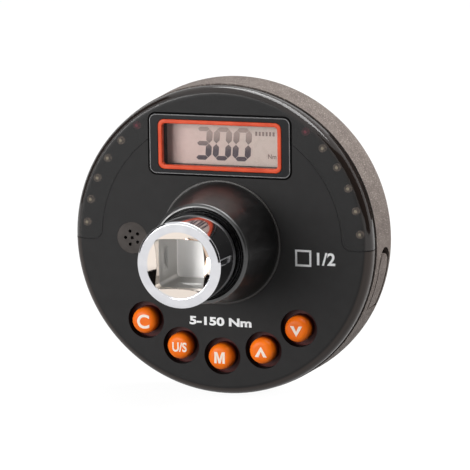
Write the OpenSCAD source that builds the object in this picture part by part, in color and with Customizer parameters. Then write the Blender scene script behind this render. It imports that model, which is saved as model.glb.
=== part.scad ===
// Torque angle gauge: a square drive measuring adapter in a round display case
// Drive axis along Y, display side facing -Y, Z up, origin on the axis at the output shoulder
// Inside each module the drawing lies in X and Y as seen from the display side
// Depths are measured from the flat front face towards the back, so the input end is a negative depth

/* [Case] */
// Radius of the round case halfway along its side
case_r = 41.5; // [41:0.1:42.5]
// How much smaller the radius of the front cover is
cover_inset = 0.5; // [0.4:0.05:0.6]
// How much the housing widens from the seam to the back edge
side_draft = 0.45; // [0.2:0.05:0.5]
// Rounding of the front edge
face_edge_r = 2.4; // [2:0.1:2.6]
// Depth of the front cover down to the seam
cover_depth = 3.54; // [3.4:0.02:3.7]
// Wall of the cover and the housing
case_wall = 2.6; // [2.5:0.05:2.7]
// Thickness of the gasket in the seam
gasket_t = 0.8; // [0.7:0.05:0.9]
// How far the gasket sits inside the outer surface
gasket_inset = 0.5; // [0.3:0.1:0.8]
// Depth of the flat back face
back_depth = 18.6; // [18.4:0.1:19.2]
// Rounding of the back edge
back_edge_r = 3; // [2:0.1:3.1]
// Thickness of the back wall
back_wall = 2.2; // [2:0.1:2.4]

/* [Light arch] */
// Width of the smoked light arch
arch_w = 8.3; // [8:0.1:8.5]
// Height of the lower ends of the arch
arch_end_y = -0.7; // [-1:0.1:0]
// Corner radius at the ends of the arch
arch_corner_r = 2.5; // [2:0.1:3]
// Thickness of the arch lens
lens_t = 1.4; // [1.3:0.05:1.5]
// Distance from the case edge to the lamp circle
led_inset = 3.65; // [3.6:0.05:3.8]
// Angle of the topmost lamp
led_first_angle = 52.2; // [51:0.2:53]
// Angle between two lamps
led_step = 9.37; // [9.1:0.05:9.5]
// Radius of the lamp holes in the cover
led_hole_r = 1.35; // [1.25:0.05:1.4]

/* [Display] */
// Width of the display plate
bezel_w = 38.7; // [38:0.1:39]
// Height of the display plate
bezel_h = 15.8; // [15.6:0.1:16]
// Distance of the display centre from the top of the case
bezel_drop = 16.1; // [16:0.05:16.2]
// Smallest gap between the neck and the display plate
bezel_neck_gap = 1.4; // [1.2:0.1:1.6]
// Corner radius of the display plate
bezel_corner_r = 1.8; // [1.2:0.1:2.4]
// Thickness of the display plate
bezel_t = 1.6; // [1.5:0.05:1.7]
// How far the plate stands proud of the face
bezel_proud = 0.15; // [0:0.05:0.3]
// Outer width of the coloured frame
accent_w = 33.9; // [33.6:0.1:34.2]
// Outer height of the coloured frame
accent_h = 13.2; // [13:0.1:13.4]
// Line width of the coloured frame
accent_line = 1.1; // [1:0.05:1.2]
// Thickness of the clear window
window_t = 1.2; // [1:0.1:1.3]
// Depth of the front of the display panel
panel_depth = 4.65; // [4.5:0.05:4.8]
// Thickness of the display panel
panel_t = 1.6; // [1.5:0.05:1.7]

/* [Keys] */
// Distance from the case edge to the circle of key centres
key_inset = 11; // [10.8:0.1:11.2]
// Distance between two key centres
key_pitch = 11.64; // [11.6:0.02:11.8]
// Radius of a key cap
key_r = 3.45; // [3.3:0.05:3.6]
// Radius of a key hole in the cover
key_hole_r = 5; // [4.8:0.05:5.1]
// Height of the key tops above the face
key_proud = 2.3; // [2.1:0.1:2.5]
// Travel of a key
key_travel = 0.5; // [0.3:0.05:0.55]

/* [Drive] */
// Distance of the input end in front of the face
input_reach = 33.1; // [32.6:0.1:33.6]
// Radius of the input end
spindle_r = 11.15; // [11.05:0.05:11.25]
// Width across the flats of the input square
input_square = 12.8; // [12.75:0.01:12.9]
// Depth of the input square
input_depth = 17.3; // [16.5:0.1:18]
// Radius of the lead-in at the input mouth
lead_in_r = 8.7; // [8.65:0.05:9]
// Width across the flats of the output square
output_square = 12.7; // [12.6:0.01:12.75]
// Length of the output square
output_length = 16; // [15:0.1:17]
// Depth of the output shoulder behind the face
shoulder_depth = 28.5; // [28.2:0.1:29.5]
// Radius of the neck where it leaves the face
neck_base_r = 16.1; // [15.9:0.1:16.3]
// Radius of the neck at its mouth
neck_mouth_r = 13.2; // [13.1:0.1:13.5]
// Distance of the neck mouth in front of the face
neck_reach = 17.7; // [17.2:0.1:18.2]

/* [Back] */
// Distance of the battery centre from the bottom of the case
battery_inset = 15.1; // [15:0.1:15.3]
// Twist that frees the battery cap
cap_twist = 50; // [40:1:55]
// Angle between the port and the screw post below it
port_step = 14.3; // [13.9:0.1:14.8]
// Length of the port recess
port_l = 17; // [16.6:0.1:17.4]
// Width of the port recess
port_w = 7.5; // [7.3:0.1:7.6]
// Depth of the port centre behind the face
port_depth = 11.1; // [11:0.1:11.3]

/* [Hidden] */
$fn = 96;
// Overrun of a cutting tool
cut = 1;
// Small seating clearance between glued or clamped pieces
seat = 0.05;
// Running clearance of a small shaft
run = 0.08;
// Clearance round a moving edge
free = 0.3;
// Gap round the display plate
bezel_gap = 0.2;
// Inside radius of the case
cavity_r = case_r - case_wall;
// Outside radius of the front cover
cover_r = case_r - cover_inset;
// Outside radius of the housing at the seam and at the back edge
housing_front_r = case_r - side_draft / 2;
housing_back_r = case_r + side_draft / 2;
// Inner radius of the smoked light arch
arch_r = case_r - arch_w;
// Height of the display centre above the drive axis
bezel_y = max(case_r - bezel_drop, neck_base_r + bezel_neck_gap + bezel_h / 2);
// Height of the battery centre, below the drive axis
battery_y = battery_inset - case_r;
// Depth where the housing starts behind the gasket
housing_front = cover_depth + gasket_t;
// Depth of the inside of the back wall
back_inside = back_depth - back_wall;

// Front and back of the main board
board_front = 7.4;
board_t = 1.6;
board_back = board_front + board_t;
board_gap = 1.3;
board_r = cavity_r - board_gap;
board_hole_r = 17.4;

// Chips on the back of the board, each given by its place and width
chip_spots = [[-25, 9, 8], [-24, -9, 6], [8, 25, 6]];
chip_t = 1.2;
gyro_spot = [22, 9];
gyro_w = 4;

// Circle of keys
key_ring_r = case_r - key_inset;
key_step = 2 * asin(key_pitch / 2 / key_ring_r);
key_angles = [for (i = [-2 : 2]) -90 + i * key_step];

// Screw posts that join cover, board and housing
post_inset = 9;
post_ring_r = case_r - post_inset;
post_high_angle = 40;
post_step = 18;
post_low_angle = key_angles[4] + post_step;
post_angles = [post_high_angle, 180 - post_high_angle, 180 - post_low_angle, post_low_angle];
cover_post_r = 2.6;
housing_post_r = 3.5;
screw_r = 1.15;
screw_head_r = 2.5;
screw_head_t = 1.7;
screw_tip_depth = 3.6;
screw_seat_depth = 15.2;
screw_slot_w = 0.6;
screw_slot_l = 3;
screw_hole_gap = 0.2;
screw_slot_deep = 0.7;

// Lamps and their boards
led_r = case_r - led_inset;
led_count = 6;
led_angles = [for (i = [0 : led_count - 1]) led_first_angle - i * led_step];
led_w = 2;
led_d = 1.25;
led_sink = 0.25;
led_top_depth = lens_t + led_sink;
led_board_t = 0.8;
led_board_front = case_wall + seat;
led_board_w = 3.2;
led_board_gap = 0.1;
led_board_out_r = cavity_r - led_board_gap;
led_board_in_r = led_board_out_r - led_board_w;
led_board_end = 4;
led_pin_r = 0.35;
led_pin_inset = 0.9;
led_pin_ring_r = led_board_in_r + led_pin_inset;
led_pin_angles = [led_first_angle - 1.5 * led_step, led_first_angle - 3.5 * led_step];

// Display stack
window_w = accent_w - 2 * accent_line;
window_h = accent_h - 2 * accent_line;
accent_corner_r = 1.7;
window_corner_r = 0.9;
window_sink = 0.25;
light_box_corner_r = 1;
opening_gap = 0.2;
opening_w = window_w + 2 * opening_gap;
opening_h = window_h + 2 * opening_gap;
panel_w = 34.6;
panel_h = 13.6;
light_box_wall = 1.2;
light_box_w = panel_w + 2 * light_box_wall;
light_box_h = panel_h + 2 * light_box_wall;
strip_h = 1.6;
strip_w = 31;

// Keys and switches
key_edge_r = 1.65;
key_flange_r = 5.6;
key_flange_t = 0.7;
key_flange_gap = 0.15;
key_flange_front = case_wall + key_flange_gap;
key_flange_back = key_flange_front + key_flange_t;
key_stem_r = 1.6;
key_stem_end = 4.1;
switch_w = 6;
key_stop_gap = 0.1;
switch_front = key_stem_end + key_travel + key_stop_gap;
plunger_r = 1.5;
plunger_end = 5.6;
switch_well_end = plunger_end + key_travel + key_stop_gap;

// Sounder
grille_inset = 16.8;
grille_x = grille_inset - case_r;
grille_r = 4.2;
grille_t = 1.2;
grille_hole_r = 0.45;
grille_hole_ring_r = 1.85;
grille_hole_count = 5;
sound_hole_r = 2.8;
buzzer_r = 4.6;
buzzer_front = 3.2;
buzzer_port_r = 1;
buzzer_port_deep = 1;

// Neck sleeve
neck_fit = 0.1;
neck_lip_r = 0.95;
neck_run = 0.35;
neck_bore_r = spindle_r + neck_run;
neck_flange_r = 19.2;
neck_flange_gap = 0.5;
neck_flange_top_y = bezel_y - light_box_h / 2 - neck_flange_gap;
neck_flange_front = case_wall + seat;
neck_flange_t = 1.4;
neck_flange_back = neck_flange_front + neck_flange_t;
neck_screw_angles = [-160, -90, -20];
neck_screw_ring_r = 17.75;
neck_screw_r = 0.75;
neck_screw_head_r = 1.35;
neck_screw_head_t = 0.9;
neck_screw_tip = 1.1;
mouth_seal_t = 1.2;
mouth_seal_sink = 0.5;
mouth_seal_r = 12.2;
mouth_seal_front = mouth_seal_sink - neck_reach;

// Spindle
tip_chamfer = 0.5;
input_corner_r = 1.1;
lead_slope = 0.7;
lead_run = lead_in_r - input_square / 2 + input_corner_r;
lead_l = lead_run * lead_slope;
detent_groove_r = 7.1;
detent_groove_w = 3;
detent_groove_in = 7;
front_length_end = -2;
taper_l = 1.5;
gauge_r = 8.5;
gauge_flat = 7.6;
gauge_flat_start = -0.5;
gauge_flat_end = 11.5;
gauge_end = 12;
collar_r = 11;
collar_fit = 0.05;
output_corner_r = 1;
output_tip_r = 7.2;
foil_t = 0.15;
foil_w = 5;
foil_l = 8;
foil_depth = 5;
ribbon_w = 3;
ribbon_t = 0.2;
ribbon_end = 20;

// Ball and spring in the output square
ball_r = 2;
ball_fit = 0.05;
ball_lip_r = 1.75;
ball_lip_t = 0.3;
ball_depth = shoulder_depth + output_length / 2;
ball_lip_y = output_square / 2 - ball_lip_t;
ball_y = ball_lip_y - sqrt(ball_r * ball_r - ball_lip_r * ball_lip_r) - ball_fit;
ball_bore_floor = -1.5;
coil_r = 1.45;
coil_wire_r = 0.2;
coil_turns = 6;
coil_steps = 14;
coil_sides = 8;

// Hub at the back
hub_r = 14;
hub_front = 13.5;
hub_back = 23.4;
hub_edge_r = 1;
hub_seal_r = 12.2;
hub_seal_front = 14.6;
hub_seal_back = 16;
ring_groove_r = 10.3;
ring_r = 12.6;
ring_t = 1;
ring_mouth_w = 4;
set_screw_angles = [30, 150, 270];
set_screw_r = 1.25;
set_screw_depth = 21;
set_screw_sink = 0.4;
set_screw_key_r = 0.65;
set_screw_key_deep = 1.2;

// Battery
cell_r = 10;
cell_t = 3.2;
cell_cup_r = 8.6;
cell_cup_t = 0.5;
well_r = 10.35;
well_wall_r = 12.9;
well_front = 10.4;
cap_r = 11.6;
cap_sink = 0.2;
cap_gap = 0.15;
cap_floor = 17.2;
cap_spigot_r = 10.2;
cap_spigot_end = 16;
lip_end = 16.6;
lug_r = 11.05;
lug_groove_r = 11.4;
lug_groove_end = 15.9;
lug_angle = 24;
notch_angle = 30;
cap_slot_w = 1.8;
cap_slot_l = 15;
cap_slot_deep = 0.7;
cap_seal_in_r = 10.6;
cap_seal_out_r = 11.2;
cap_seal_t = 0.5;
cell_gap = 0.2;
cell_back = cap_spigot_end - cell_gap;
cell_front = cell_back - cell_t;
leaf_t = 0.22;
leaf_w = 3;
leaf_base = 6;
leaf_short = 1;

// Port
port_angle = post_low_angle + port_step;
socket_w = 7.7;
socket_h = 3.9;
socket_l = 9;
socket_gap = 0.4;
socket_mouth_r = cavity_r - socket_gap;
socket_shell = 0.4;
socket_floor = 2.5;
tongue_w = 4.6;
tongue_h = 0.8;
tongue_l = 4.5;
port_corner_r = 0.5;
port_skin = 0.75;
port_floor_r = cavity_r + port_skin;
port_hole_w = 8.6;
port_hole_h = 4.7;
cover_lift = 0.35;
cover_in_r = port_floor_r + cover_lift;
cover_t = case_r - cover_in_r;
cover_mid_r = cover_in_r + cover_t / 2;
nail_gap = 1.8;
cover_l = port_l - free - nail_gap;
cover_gap = 0.25;
cover_w = port_w - 2 * cover_gap;
cover_low_t = -port_l / 2 + free;
pin_t = cover_low_t + cover_t / 2;
pin_angle = asin(pin_t / cover_mid_r);
pin_r = 0.42;
cover_tail = 0.4;
cover_cut = 5;
pin_half_l = 4.6;

// Stands the drawing upright with the output shoulder at the origin
module in_place() {
    rotate([90, 0, 0])
        translate([0, 0, shoulder_depth])
            children();
}

// Extrudes a drawing between two depths
module slab(front, back) {
    translate([0, 0, -back])
        linear_extrude(back - front)
            children();
}

// Round slab between two depths
module disc(r, front, back) {
    slab(front, back)
        circle(r);
}

// Ring slab between two depths
module band(r_in, r_out, front, back) {
    slab(front, back)
        difference() {
            circle(r_out);
            circle(r_in);
        }
}

// Moves a piece to a point given by radius and angle
module at_polar(r, angle) {
    translate([r * cos(angle), r * sin(angle), 0])
        children();
}

// Rectangle with round corners about the middle
module round_rect(w, h, r) {
    square([w, h - 2 * r], center = true);
    square([w - 2 * r, h], center = true);
    for (sx = [-1, 1], sy = [-1, 1])
        translate([sx * (w / 2 - r), sy * (h / 2 - r)])
            circle(r);
}

// Half outline of a disc with a round front edge
module front_edge_outline(r, edge, front, back) {
    translate([0, -back])
        square([r, back - front - edge]);
    translate([0, -front - edge])
        square([r - edge, edge]);
    intersection() {
        translate([r - edge, -front - edge])
            circle(edge);
        translate([0, -front - edge])
            square([r + cut, edge]);
    }
}

// Half outline of a disc with a round back edge
module back_edge_outline(r, edge, front, back) {
    translate([0, -back + edge])
        square([r, back - front - edge]);
    translate([0, -back])
        square([r - edge, edge]);
    translate([r - edge, -back + edge])
        circle(edge);
}

// Wedge drawing between two angles, less than a half turn
module wedge(r, start, end) {
    middle = (start + end) / 2;
    far = 2 * r;
    polygon([
        [0, 0],
        [far * cos(start), far * sin(start)],
        [far * cos(middle), far * sin(middle)],
        [far * cos(end), far * sin(end)]
    ]);
}

// Part of a ring between two angles
module ring_part(r_in, r_out, start, end) {
    intersection() {
        difference() {
            circle(r_out);
            circle(r_in);
        }
        wedge(r_out, start, end);
    }
}

// Removes the sharp inner corner at one end of the arch
module arch_corner(in_r, end_y, corner_r) {
    up_y = end_y + corner_r - seat;
    mid_x = sqrt(in_r * in_r - up_y * up_y) + corner_r - seat;
    difference() {
        translate([mid_x - corner_r - cut, end_y - cut])
            square([corner_r + cut, up_y - end_y + cut]);
        translate([mid_x, up_y])
            circle(corner_r);
    }
}

// Outline of the light arch, grown for its recess
module arch_area(grow) {
    in_r = arch_r - grow;
    end_y = arch_end_y - grow;
    difference() {
        translate([-case_r - cut, end_y])
            square([2 * (case_r + cut), case_r + cut - end_y]);
        circle(in_r);
        arch_corner(in_r, end_y, arch_corner_r);
        mirror([1, 0])
            arch_corner(in_r, end_y, arch_corner_r);
    }
}

// Space for the display plate
module bezel_seat() {
    translate([0, bezel_y])
        slab(-cut, bezel_t)
            round_rect(bezel_w + 2 * bezel_gap, bezel_h + 2 * bezel_gap, bezel_corner_r + bezel_gap);
}

// Recess for the light arch in the cover
module arch_recess() {
    difference() {
        slab(-cut, cover_depth + cut)
            arch_area(seat);
        disc(cover_r - lens_t - seat, lens_t + seat, cover_depth + 2 * cut);
    }
}

module at_leds(angles) {
    for (a = angles, side = [0, 1])
        at_polar(led_r, side == 0 ? a : 180 - a)
            rotate([0, 0, side == 0 ? a : 180 - a])
                children();
}

module front_cover() {
    color([0.2, 0.2, 0.2])
        difference() {
            union() {
                difference() {
                    rotate_extrude()
                        front_edge_outline(cover_r, face_edge_r, 0, cover_depth);
                    disc(cavity_r, case_wall, cover_depth + cut);
                }
                for (a = post_angles)
                    at_polar(post_ring_r, a)
                        disc(cover_post_r, case_wall - seat, board_front - seat);
            }
            arch_recess();
            bezel_seat();
            translate([0, bezel_y])
                slab(-cut, case_wall + cut)
                    square([opening_w, opening_h], center = true);
            disc(neck_base_r + neck_fit, -cut, case_wall + cut);
            for (a = key_angles)
                at_polar(key_ring_r, a)
                    disc(key_hole_r, -cut, case_wall + cut);
            translate([grille_x, 0]) {
                disc(grille_r + seat, -cut, grille_t);
                disc(sound_hole_r, 0, case_wall + cut);
            }
            at_leds(led_angles)
                disc(led_hole_r, lens_t, case_wall + cut);
            for (a = post_angles)
                at_polar(post_ring_r, a)
                    disc(screw_r + seat, screw_tip_depth - seat, board_front + cut);
            for (a = neck_screw_angles)
                at_polar(neck_screw_ring_r, a)
                    disc(neck_screw_r + seat, neck_screw_tip - seat, case_wall + cut);
        }
}

module led_lens() {
    color([0.12, 0.11, 0.11])
        difference() {
            intersection() {
                rotate_extrude()
                    front_edge_outline(cover_r, face_edge_r, 0, cover_depth);
                slab(-cut, cover_depth + cut)
                    arch_area(0);
            }
            disc(cover_r - lens_t, lens_t, cover_depth + cut);
            bezel_seat();
        }
}

module window_frame() {
    color([0.24, 0.25, 0.28])
        translate([0, bezel_y])
            slab(-bezel_proud, bezel_t - seat)
                difference() {
                    round_rect(bezel_w, bezel_h, bezel_corner_r);
                    round_rect(accent_w + 2 * seat, accent_h + 2 * seat, accent_corner_r + seat);
                }
}

module accent_frame() {
    color([0.85, 0.3, 0.15])
        translate([0, bezel_y])
            slab(-bezel_proud, bezel_t - seat)
                difference() {
                    round_rect(accent_w, accent_h, accent_corner_r);
                    round_rect(window_w, window_h, window_corner_r);
                }
}

module display_window() {
    front = window_sink - bezel_proud;
    color([0.75, 0.78, 0.75, 0.4])
        translate([0, bezel_y])
            slab(front, front + window_t)
                round_rect(window_w - 2 * seat, window_h - 2 * seat, window_corner_r - seat);
}

module light_box() {
    color([0.06, 0.06, 0.06])
        translate([0, bezel_y])
            difference() {
                slab(case_wall + seat, board_front - seat)
                    round_rect(light_box_w, light_box_h, light_box_corner_r);
                slab(case_wall - cut, board_front)
                    square([opening_w, opening_h], center = true);
                slab(panel_depth - seat, board_front + cut)
                    square([panel_w + 2 * seat, panel_h + 2 * seat], center = true);
            }
}

module display_panel() {
    color([0.62, 0.6, 0.52])
        translate([0, bezel_y])
            slab(panel_depth, panel_depth + panel_t)
                square([panel_w, panel_h], center = true);
}

module display_strips() {
    color([0.75, 0.45, 0.5])
        for (side = [-1, 1])
            translate([0, bezel_y + side * (panel_h - strip_h) / 2])
                slab(panel_depth + panel_t + seat / 2, board_front - seat / 2)
                    square([strip_w, strip_h], center = true);
}

module buzzer_grille() {
    color([0.3, 0.28, 0.27])
        translate([grille_x, 0])
            slab(0, grille_t - seat)
                difference() {
                    circle(grille_r);
                    circle(grille_hole_r);
                    for (i = [0 : grille_hole_count - 1])
                        rotate([0, 0, 180 + i * 360 / grille_hole_count])
                            translate([grille_hole_ring_r, 0])
                                circle(grille_hole_r);
                }
}

module buzzer() {
    color([0.05, 0.05, 0.05])
        translate([grille_x, 0])
            difference() {
                disc(buzzer_r, buzzer_front, board_front - seat);
                disc(buzzer_port_r, buzzer_front - cut, buzzer_front + buzzer_port_deep);
            }
}

module neck_sleeve() {
    lip_r = neck_mouth_r - neck_lip_r;
    lip_y = neck_reach - neck_lip_r;
    color([0.1, 0.1, 0.1])
        difference() {
            union() {
                rotate_extrude() {
                    polygon([
                        [0, -neck_flange_front],
                        [neck_base_r, -neck_flange_front],
                        [neck_base_r, 0],
                        [neck_mouth_r, lip_y],
                        [lip_r, lip_y],
                        [0, lip_y]
                    ]);
                    translate([0, lip_y])
                        square([lip_r, neck_lip_r]);
                    translate([lip_r, lip_y])
                        circle(neck_lip_r);
                }
                slab(neck_flange_front, neck_flange_back)
                    difference() {
                        circle(neck_flange_r);
                        translate([-neck_flange_r, neck_flange_top_y])
                            square([2 * neck_flange_r, neck_flange_r]);
                    }
            }
            disc(neck_bore_r, -neck_reach - cut, neck_flange_back + cut);
            disc(mouth_seal_r + seat, -neck_reach - cut, mouth_seal_front + mouth_seal_t + seat);
            for (a = neck_screw_angles)
                at_polar(neck_screw_ring_r, a)
                    disc(neck_screw_r + seat, neck_flange_front - cut, neck_flange_back + cut);
        }
}

module neck_screws() {
    head_back = neck_flange_back + neck_screw_head_t;
    color([0.6, 0.6, 0.62])
        for (a = neck_screw_angles)
            at_polar(neck_screw_ring_r, a)
                difference() {
                    union() {
                        disc(neck_screw_r, neck_screw_tip, neck_flange_back + seat);
                        disc(neck_screw_head_r, neck_flange_back + seat / 2, head_back);
                    }
                    slab(head_back - screw_slot_w, head_back + cut)
                        square([2 * neck_screw_head_r + cut, screw_slot_w], center = true);
                }
}

module mouth_seal() {
    color([0.03, 0.03, 0.03])
        band(spindle_r + seat, mouth_seal_r, mouth_seal_front, mouth_seal_front + mouth_seal_t);
}

// Square with rounded corners for the drives
module drive_square(w, r) {
    round_rect(w, w, r);
}

module drive_spindle() {
    output_end = shoulder_depth + output_length;
    groove_front = detent_groove_in - input_reach;
    color([0.78, 0.78, 0.8])
        difference() {
            union() {
                rotate_extrude()
                    polygon([
                        [0, input_reach],
                        [spindle_r - tip_chamfer, input_reach],
                        [spindle_r, input_reach - tip_chamfer],
                        [spindle_r, -front_length_end],
                        [gauge_r, -front_length_end - taper_l],
                        [gauge_r, -gauge_end],
                        [collar_r, -gauge_end - taper_l],
                        [collar_r, -shoulder_depth],
                        [0, -shoulder_depth]
                    ]);
                intersection() {
                    slab(shoulder_depth - cut, output_end)
                        drive_square(output_square, output_corner_r);
                    rotate_extrude()
                        polygon([
                            [0, -shoulder_depth + 2 * cut],
                            [output_square, -shoulder_depth + 2 * cut],
                            [output_square, -output_end + output_square - output_tip_r],
                            [output_tip_r, -output_end],
                            [0, -output_end]
                        ]);
                }
            }
            slab(-input_reach - cut, -input_reach + input_depth)
                drive_square(input_square, input_corner_r);
            translate([0, 0, input_reach - lead_l])
                cylinder(h = lead_l, r1 = lead_in_r - lead_run, r2 = lead_in_r);
            disc(detent_groove_r, groove_front, groove_front + detent_groove_w);
            band(ring_groove_r, collar_r + cut, hub_back + seat, hub_back + ring_t + 3 * seat);
            for (i = [0 : 3])
                rotate([0, 0, i * 90])
                    translate([gauge_flat, 0])
                        slab(gauge_flat_start, gauge_flat_end)
                            translate([0, -gauge_r])
                                square([gauge_r, 2 * gauge_r]);
            translate([0, 0, -ball_depth])
                rotate([-90, 0, 0]) {
                    translate([0, 0, ball_bore_floor])
                        cylinder(h = ball_lip_y - ball_bore_floor, r = ball_r + ball_fit);
                    cylinder(h = output_square, r = ball_lip_r);
                }
        }
}

module strain_gauges() {
    color([0.75, 0.55, 0.25])
        for (i = [0 : 3])
            rotate([0, 0, i * 90])
                translate([gauge_flat, 0])
                    slab(foil_depth - foil_l / 2, foil_depth + foil_l / 2)
                        translate([0, -foil_w / 2])
                            square([foil_t, foil_w]);
}

module gauge_ribbon() {
    color([0.8, 0.5, 0.2])
        translate([-ribbon_end, -ribbon_w / 2])
            slab(board_back + seat, board_back + seat + ribbon_t)
                square([ribbon_end - gauge_flat - foil_t - seat, ribbon_w]);
}

module main_board() {
    color([0.1, 0.35, 0.2])
        slab(board_front, board_back)
            difference() {
                circle(board_r);
                circle(board_hole_r);
                for (a = post_angles)
                    at_polar(post_ring_r, a)
                        circle(screw_r + screw_hole_gap);
            }
}

module led_boards() {
    color([0.1, 0.35, 0.2])
        slab(led_board_front, led_board_front + led_board_t)
            for (side = [0, 1])
                mirror([side, 0])
                    ring_part(
                        led_board_in_r,
                        led_board_out_r,
                        led_angles[led_count - 1] - led_board_end,
                        led_first_angle + led_board_end
                    );
}

module led_pins() {
    color([0.8, 0.7, 0.4])
        for (a = led_pin_angles, side = [0, 1])
            at_polar(led_pin_ring_r, side == 0 ? a : 180 - a)
                disc(led_pin_r, led_board_front + led_board_t + seat / 2, board_front - seat / 2);
}

// One lamp standing on its board
module led_body() {
    slab(led_top_depth, led_board_front - seat / 2)
        square([led_d, led_w], center = true);
}

module red_leds() {
    color([0.9, 0.15, 0.1])
        at_leds([led_angles[0]])
            led_body();
}

module pale_leds() {
    color([0.95, 0.9, 0.75])
        at_leds([for (i = [1 : led_count - 1]) led_angles[i]])
            led_body();
}

module control_chips() {
    color([0.08, 0.08, 0.08])
        for (spot = chip_spots)
            translate([spot[0], spot[1]])
                slab(board_back + seat / 2, board_back + chip_t)
                    square([spot[2], spot[2]], center = true);
}

module gyro_sensor() {
    color([0.15, 0.15, 0.18])
        translate(gyro_spot)
            slab(board_back + seat / 2, board_back + chip_t)
                square([gyro_w, gyro_w], center = true);
}

module switch_cases() {
    color([0.15, 0.15, 0.15])
        for (a = key_angles)
            at_polar(key_ring_r, a)
                rotate([0, 0, a])
                    difference() {
                        slab(switch_front, board_front - seat / 2)
                            square([switch_w, switch_w], center = true);
                        disc(plunger_r + run, switch_front - cut, switch_well_end);
                    }
}

// One key with its flange and stem
module key(index) {
    color([0.95, 0.4, 0.08])
        at_polar(key_ring_r, key_angles[index]) {
            rotate_extrude()
                front_edge_outline(key_r, key_edge_r, -key_proud, key_flange_back);
            disc(key_flange_r, key_flange_front, key_flange_back);
            disc(key_stem_r, key_flange_back - seat, key_stem_end);
        }
}

// The moving button of one switch
module plunger(index) {
    color([0.85, 0.85, 0.8])
        at_polar(key_ring_r, key_angles[index])
            disc(plunger_r, key_stem_end, plunger_end);
}

module case_gasket() {
    color([0.03, 0.03, 0.03])
        band(
            cavity_r + gasket_inset,
            cover_r - gasket_inset,
            cover_depth + seat / 2,
            housing_front - seat / 2
        );
}

// Drawing of the port, long side around the case, round at the top and square at the hinge
module port_outline(l, w) {
    square([w, l - w], center = true);
    translate([0, (l - w) / 2])
        circle(w / 2);
    translate([0, -l / 4])
        round_rect(w, l / 2, port_corner_r);
}

// Prism through the case wall at the port
module port_prism(l, w, shift, r_in, r_out) {
    rotate([0, 0, port_angle])
        translate([r_in, shift, -port_depth])
            rotate([0, 90, 0])
                linear_extrude(r_out - r_in)
                    port_outline(l, w);
}

module port_pin_hole(r, half_l) {
    rotate([0, 0, port_angle + pin_angle])
        translate([cover_mid_r, 0])
            disc(r, port_depth - half_l, port_depth + half_l);
}

module battery_space() {
    translate([0, battery_y]) {
        disc(well_r, well_front - cut, back_depth + cut);
        disc(cap_r + cap_gap, cap_floor, back_depth + cut);
        disc(lug_groove_r, lug_groove_end, lip_end);
        for (turn = [0, 180])
            rotate([0, 0, turn - cap_twist])
                slab(lip_end - seat, cap_floor + seat)
                    ring_part(well_r - cut, lug_r + cap_gap, -notch_angle / 2, notch_angle / 2);
    }
}

// Half outline of the housing, widening to its round back edge
module housing_outline() {
    bend = back_edge_r - back_depth;
    polygon([
        [0, -housing_front],
        [housing_front_r, -housing_front],
        [housing_back_r, bend],
        [0, bend]
    ]);
    translate([0, -back_depth])
        square([housing_back_r - back_edge_r, back_edge_r]);
    intersection() {
        translate([housing_back_r - back_edge_r, bend])
            circle(back_edge_r);
        translate([0, -back_depth])
            square([case_r + cut, back_edge_r]);
    }
}

module rear_housing() {
    color([0.36, 0.34, 0.33])
        difference() {
            union() {
                difference() {
                    rotate_extrude()
                        housing_outline();
                    disc(cavity_r, housing_front - cut, back_inside);
                }
                rotate_extrude()
                    back_edge_outline(hub_r, hub_edge_r, hub_front, hub_back);
                for (a = post_angles)
                    at_polar(post_ring_r, a)
                        disc(housing_post_r, board_back + seat, back_inside + seat);
                intersection() {
                    translate([0, battery_y])
                        disc(well_wall_r, well_front, back_inside + seat);
                    disc(cavity_r + case_wall / 2, well_front - cut, back_depth - cut);
                }
            }
            disc(collar_r + collar_fit, hub_front - cut, hub_back + cut);
            disc(hub_seal_r + seat, hub_seal_front, hub_seal_back);
            for (a = set_screw_angles)
                rotate([0, 0, a])
                    translate([0, 0, -set_screw_depth])
                        rotate([0, 90, 0])
                            cylinder(h = hub_r + cut, r = set_screw_r + seat);
            for (a = post_angles)
                at_polar(post_ring_r, a) {
                    disc(screw_r + screw_hole_gap, board_back, back_depth);
                    disc(screw_head_r + screw_hole_gap, screw_seat_depth, back_depth + cut);
                }
            battery_space();
            difference() {
                port_prism(port_l, port_w, 0, port_floor_r - 2 * cut, case_r + cut);
                disc(port_floor_r, port_depth - port_w, port_depth + port_w);
            }
            rotate([0, 0, port_angle])
                translate([cavity_r - cut, 0, -board_back - socket_h / 2])
                    rotate([0, 90, 0])
                        linear_extrude(case_wall)
                            square([port_hole_h, port_hole_w], center = true);
            port_pin_hole(pin_r + seat, pin_half_l + seat);
        }
}

module hub_seal() {
    color([0.03, 0.03, 0.03])
        band(collar_r + seat / 2, hub_seal_r, hub_seal_front + seat, hub_seal_back - seat);
}

module retaining_ring() {
    front = hub_back + 2 * seat;
    color([0.3, 0.3, 0.32])
        slab(front, front + ring_t)
            difference() {
                circle(ring_r);
                circle(ring_groove_r + seat);
                translate([0, -ring_r])
                    square([ring_mouth_w, 2 * ring_r], center = true);
            }
}

module set_screws() {
    length = hub_r - collar_r - set_screw_sink;
    color([0.1, 0.1, 0.1])
        for (a = set_screw_angles)
            rotate([0, 0, a])
                translate([collar_r + seat, 0, -set_screw_depth])
                    rotate([0, 90, 0])
                        difference() {
                            cylinder(h = length, r = set_screw_r);
                            translate([0, 0, length - set_screw_key_deep])
                                cylinder(h = set_screw_key_deep + cut, r = set_screw_key_r, $fn = 6);
                        }
}

module case_screws() {
    head_back = screw_seat_depth + screw_head_t;
    color([0.25, 0.25, 0.26])
        for (a = post_angles)
            at_polar(post_ring_r, a)
                difference() {
                    union() {
                        disc(screw_r, screw_tip_depth, screw_seat_depth + 2 * seat);
                        disc(screw_head_r, screw_seat_depth + seat, head_back);
                    }
                    slab(head_back - screw_slot_deep, head_back + cut) {
                        square([screw_slot_l, screw_slot_w], center = true);
                        square([screw_slot_w, screw_slot_l], center = true);
                    }
                }
}

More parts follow.
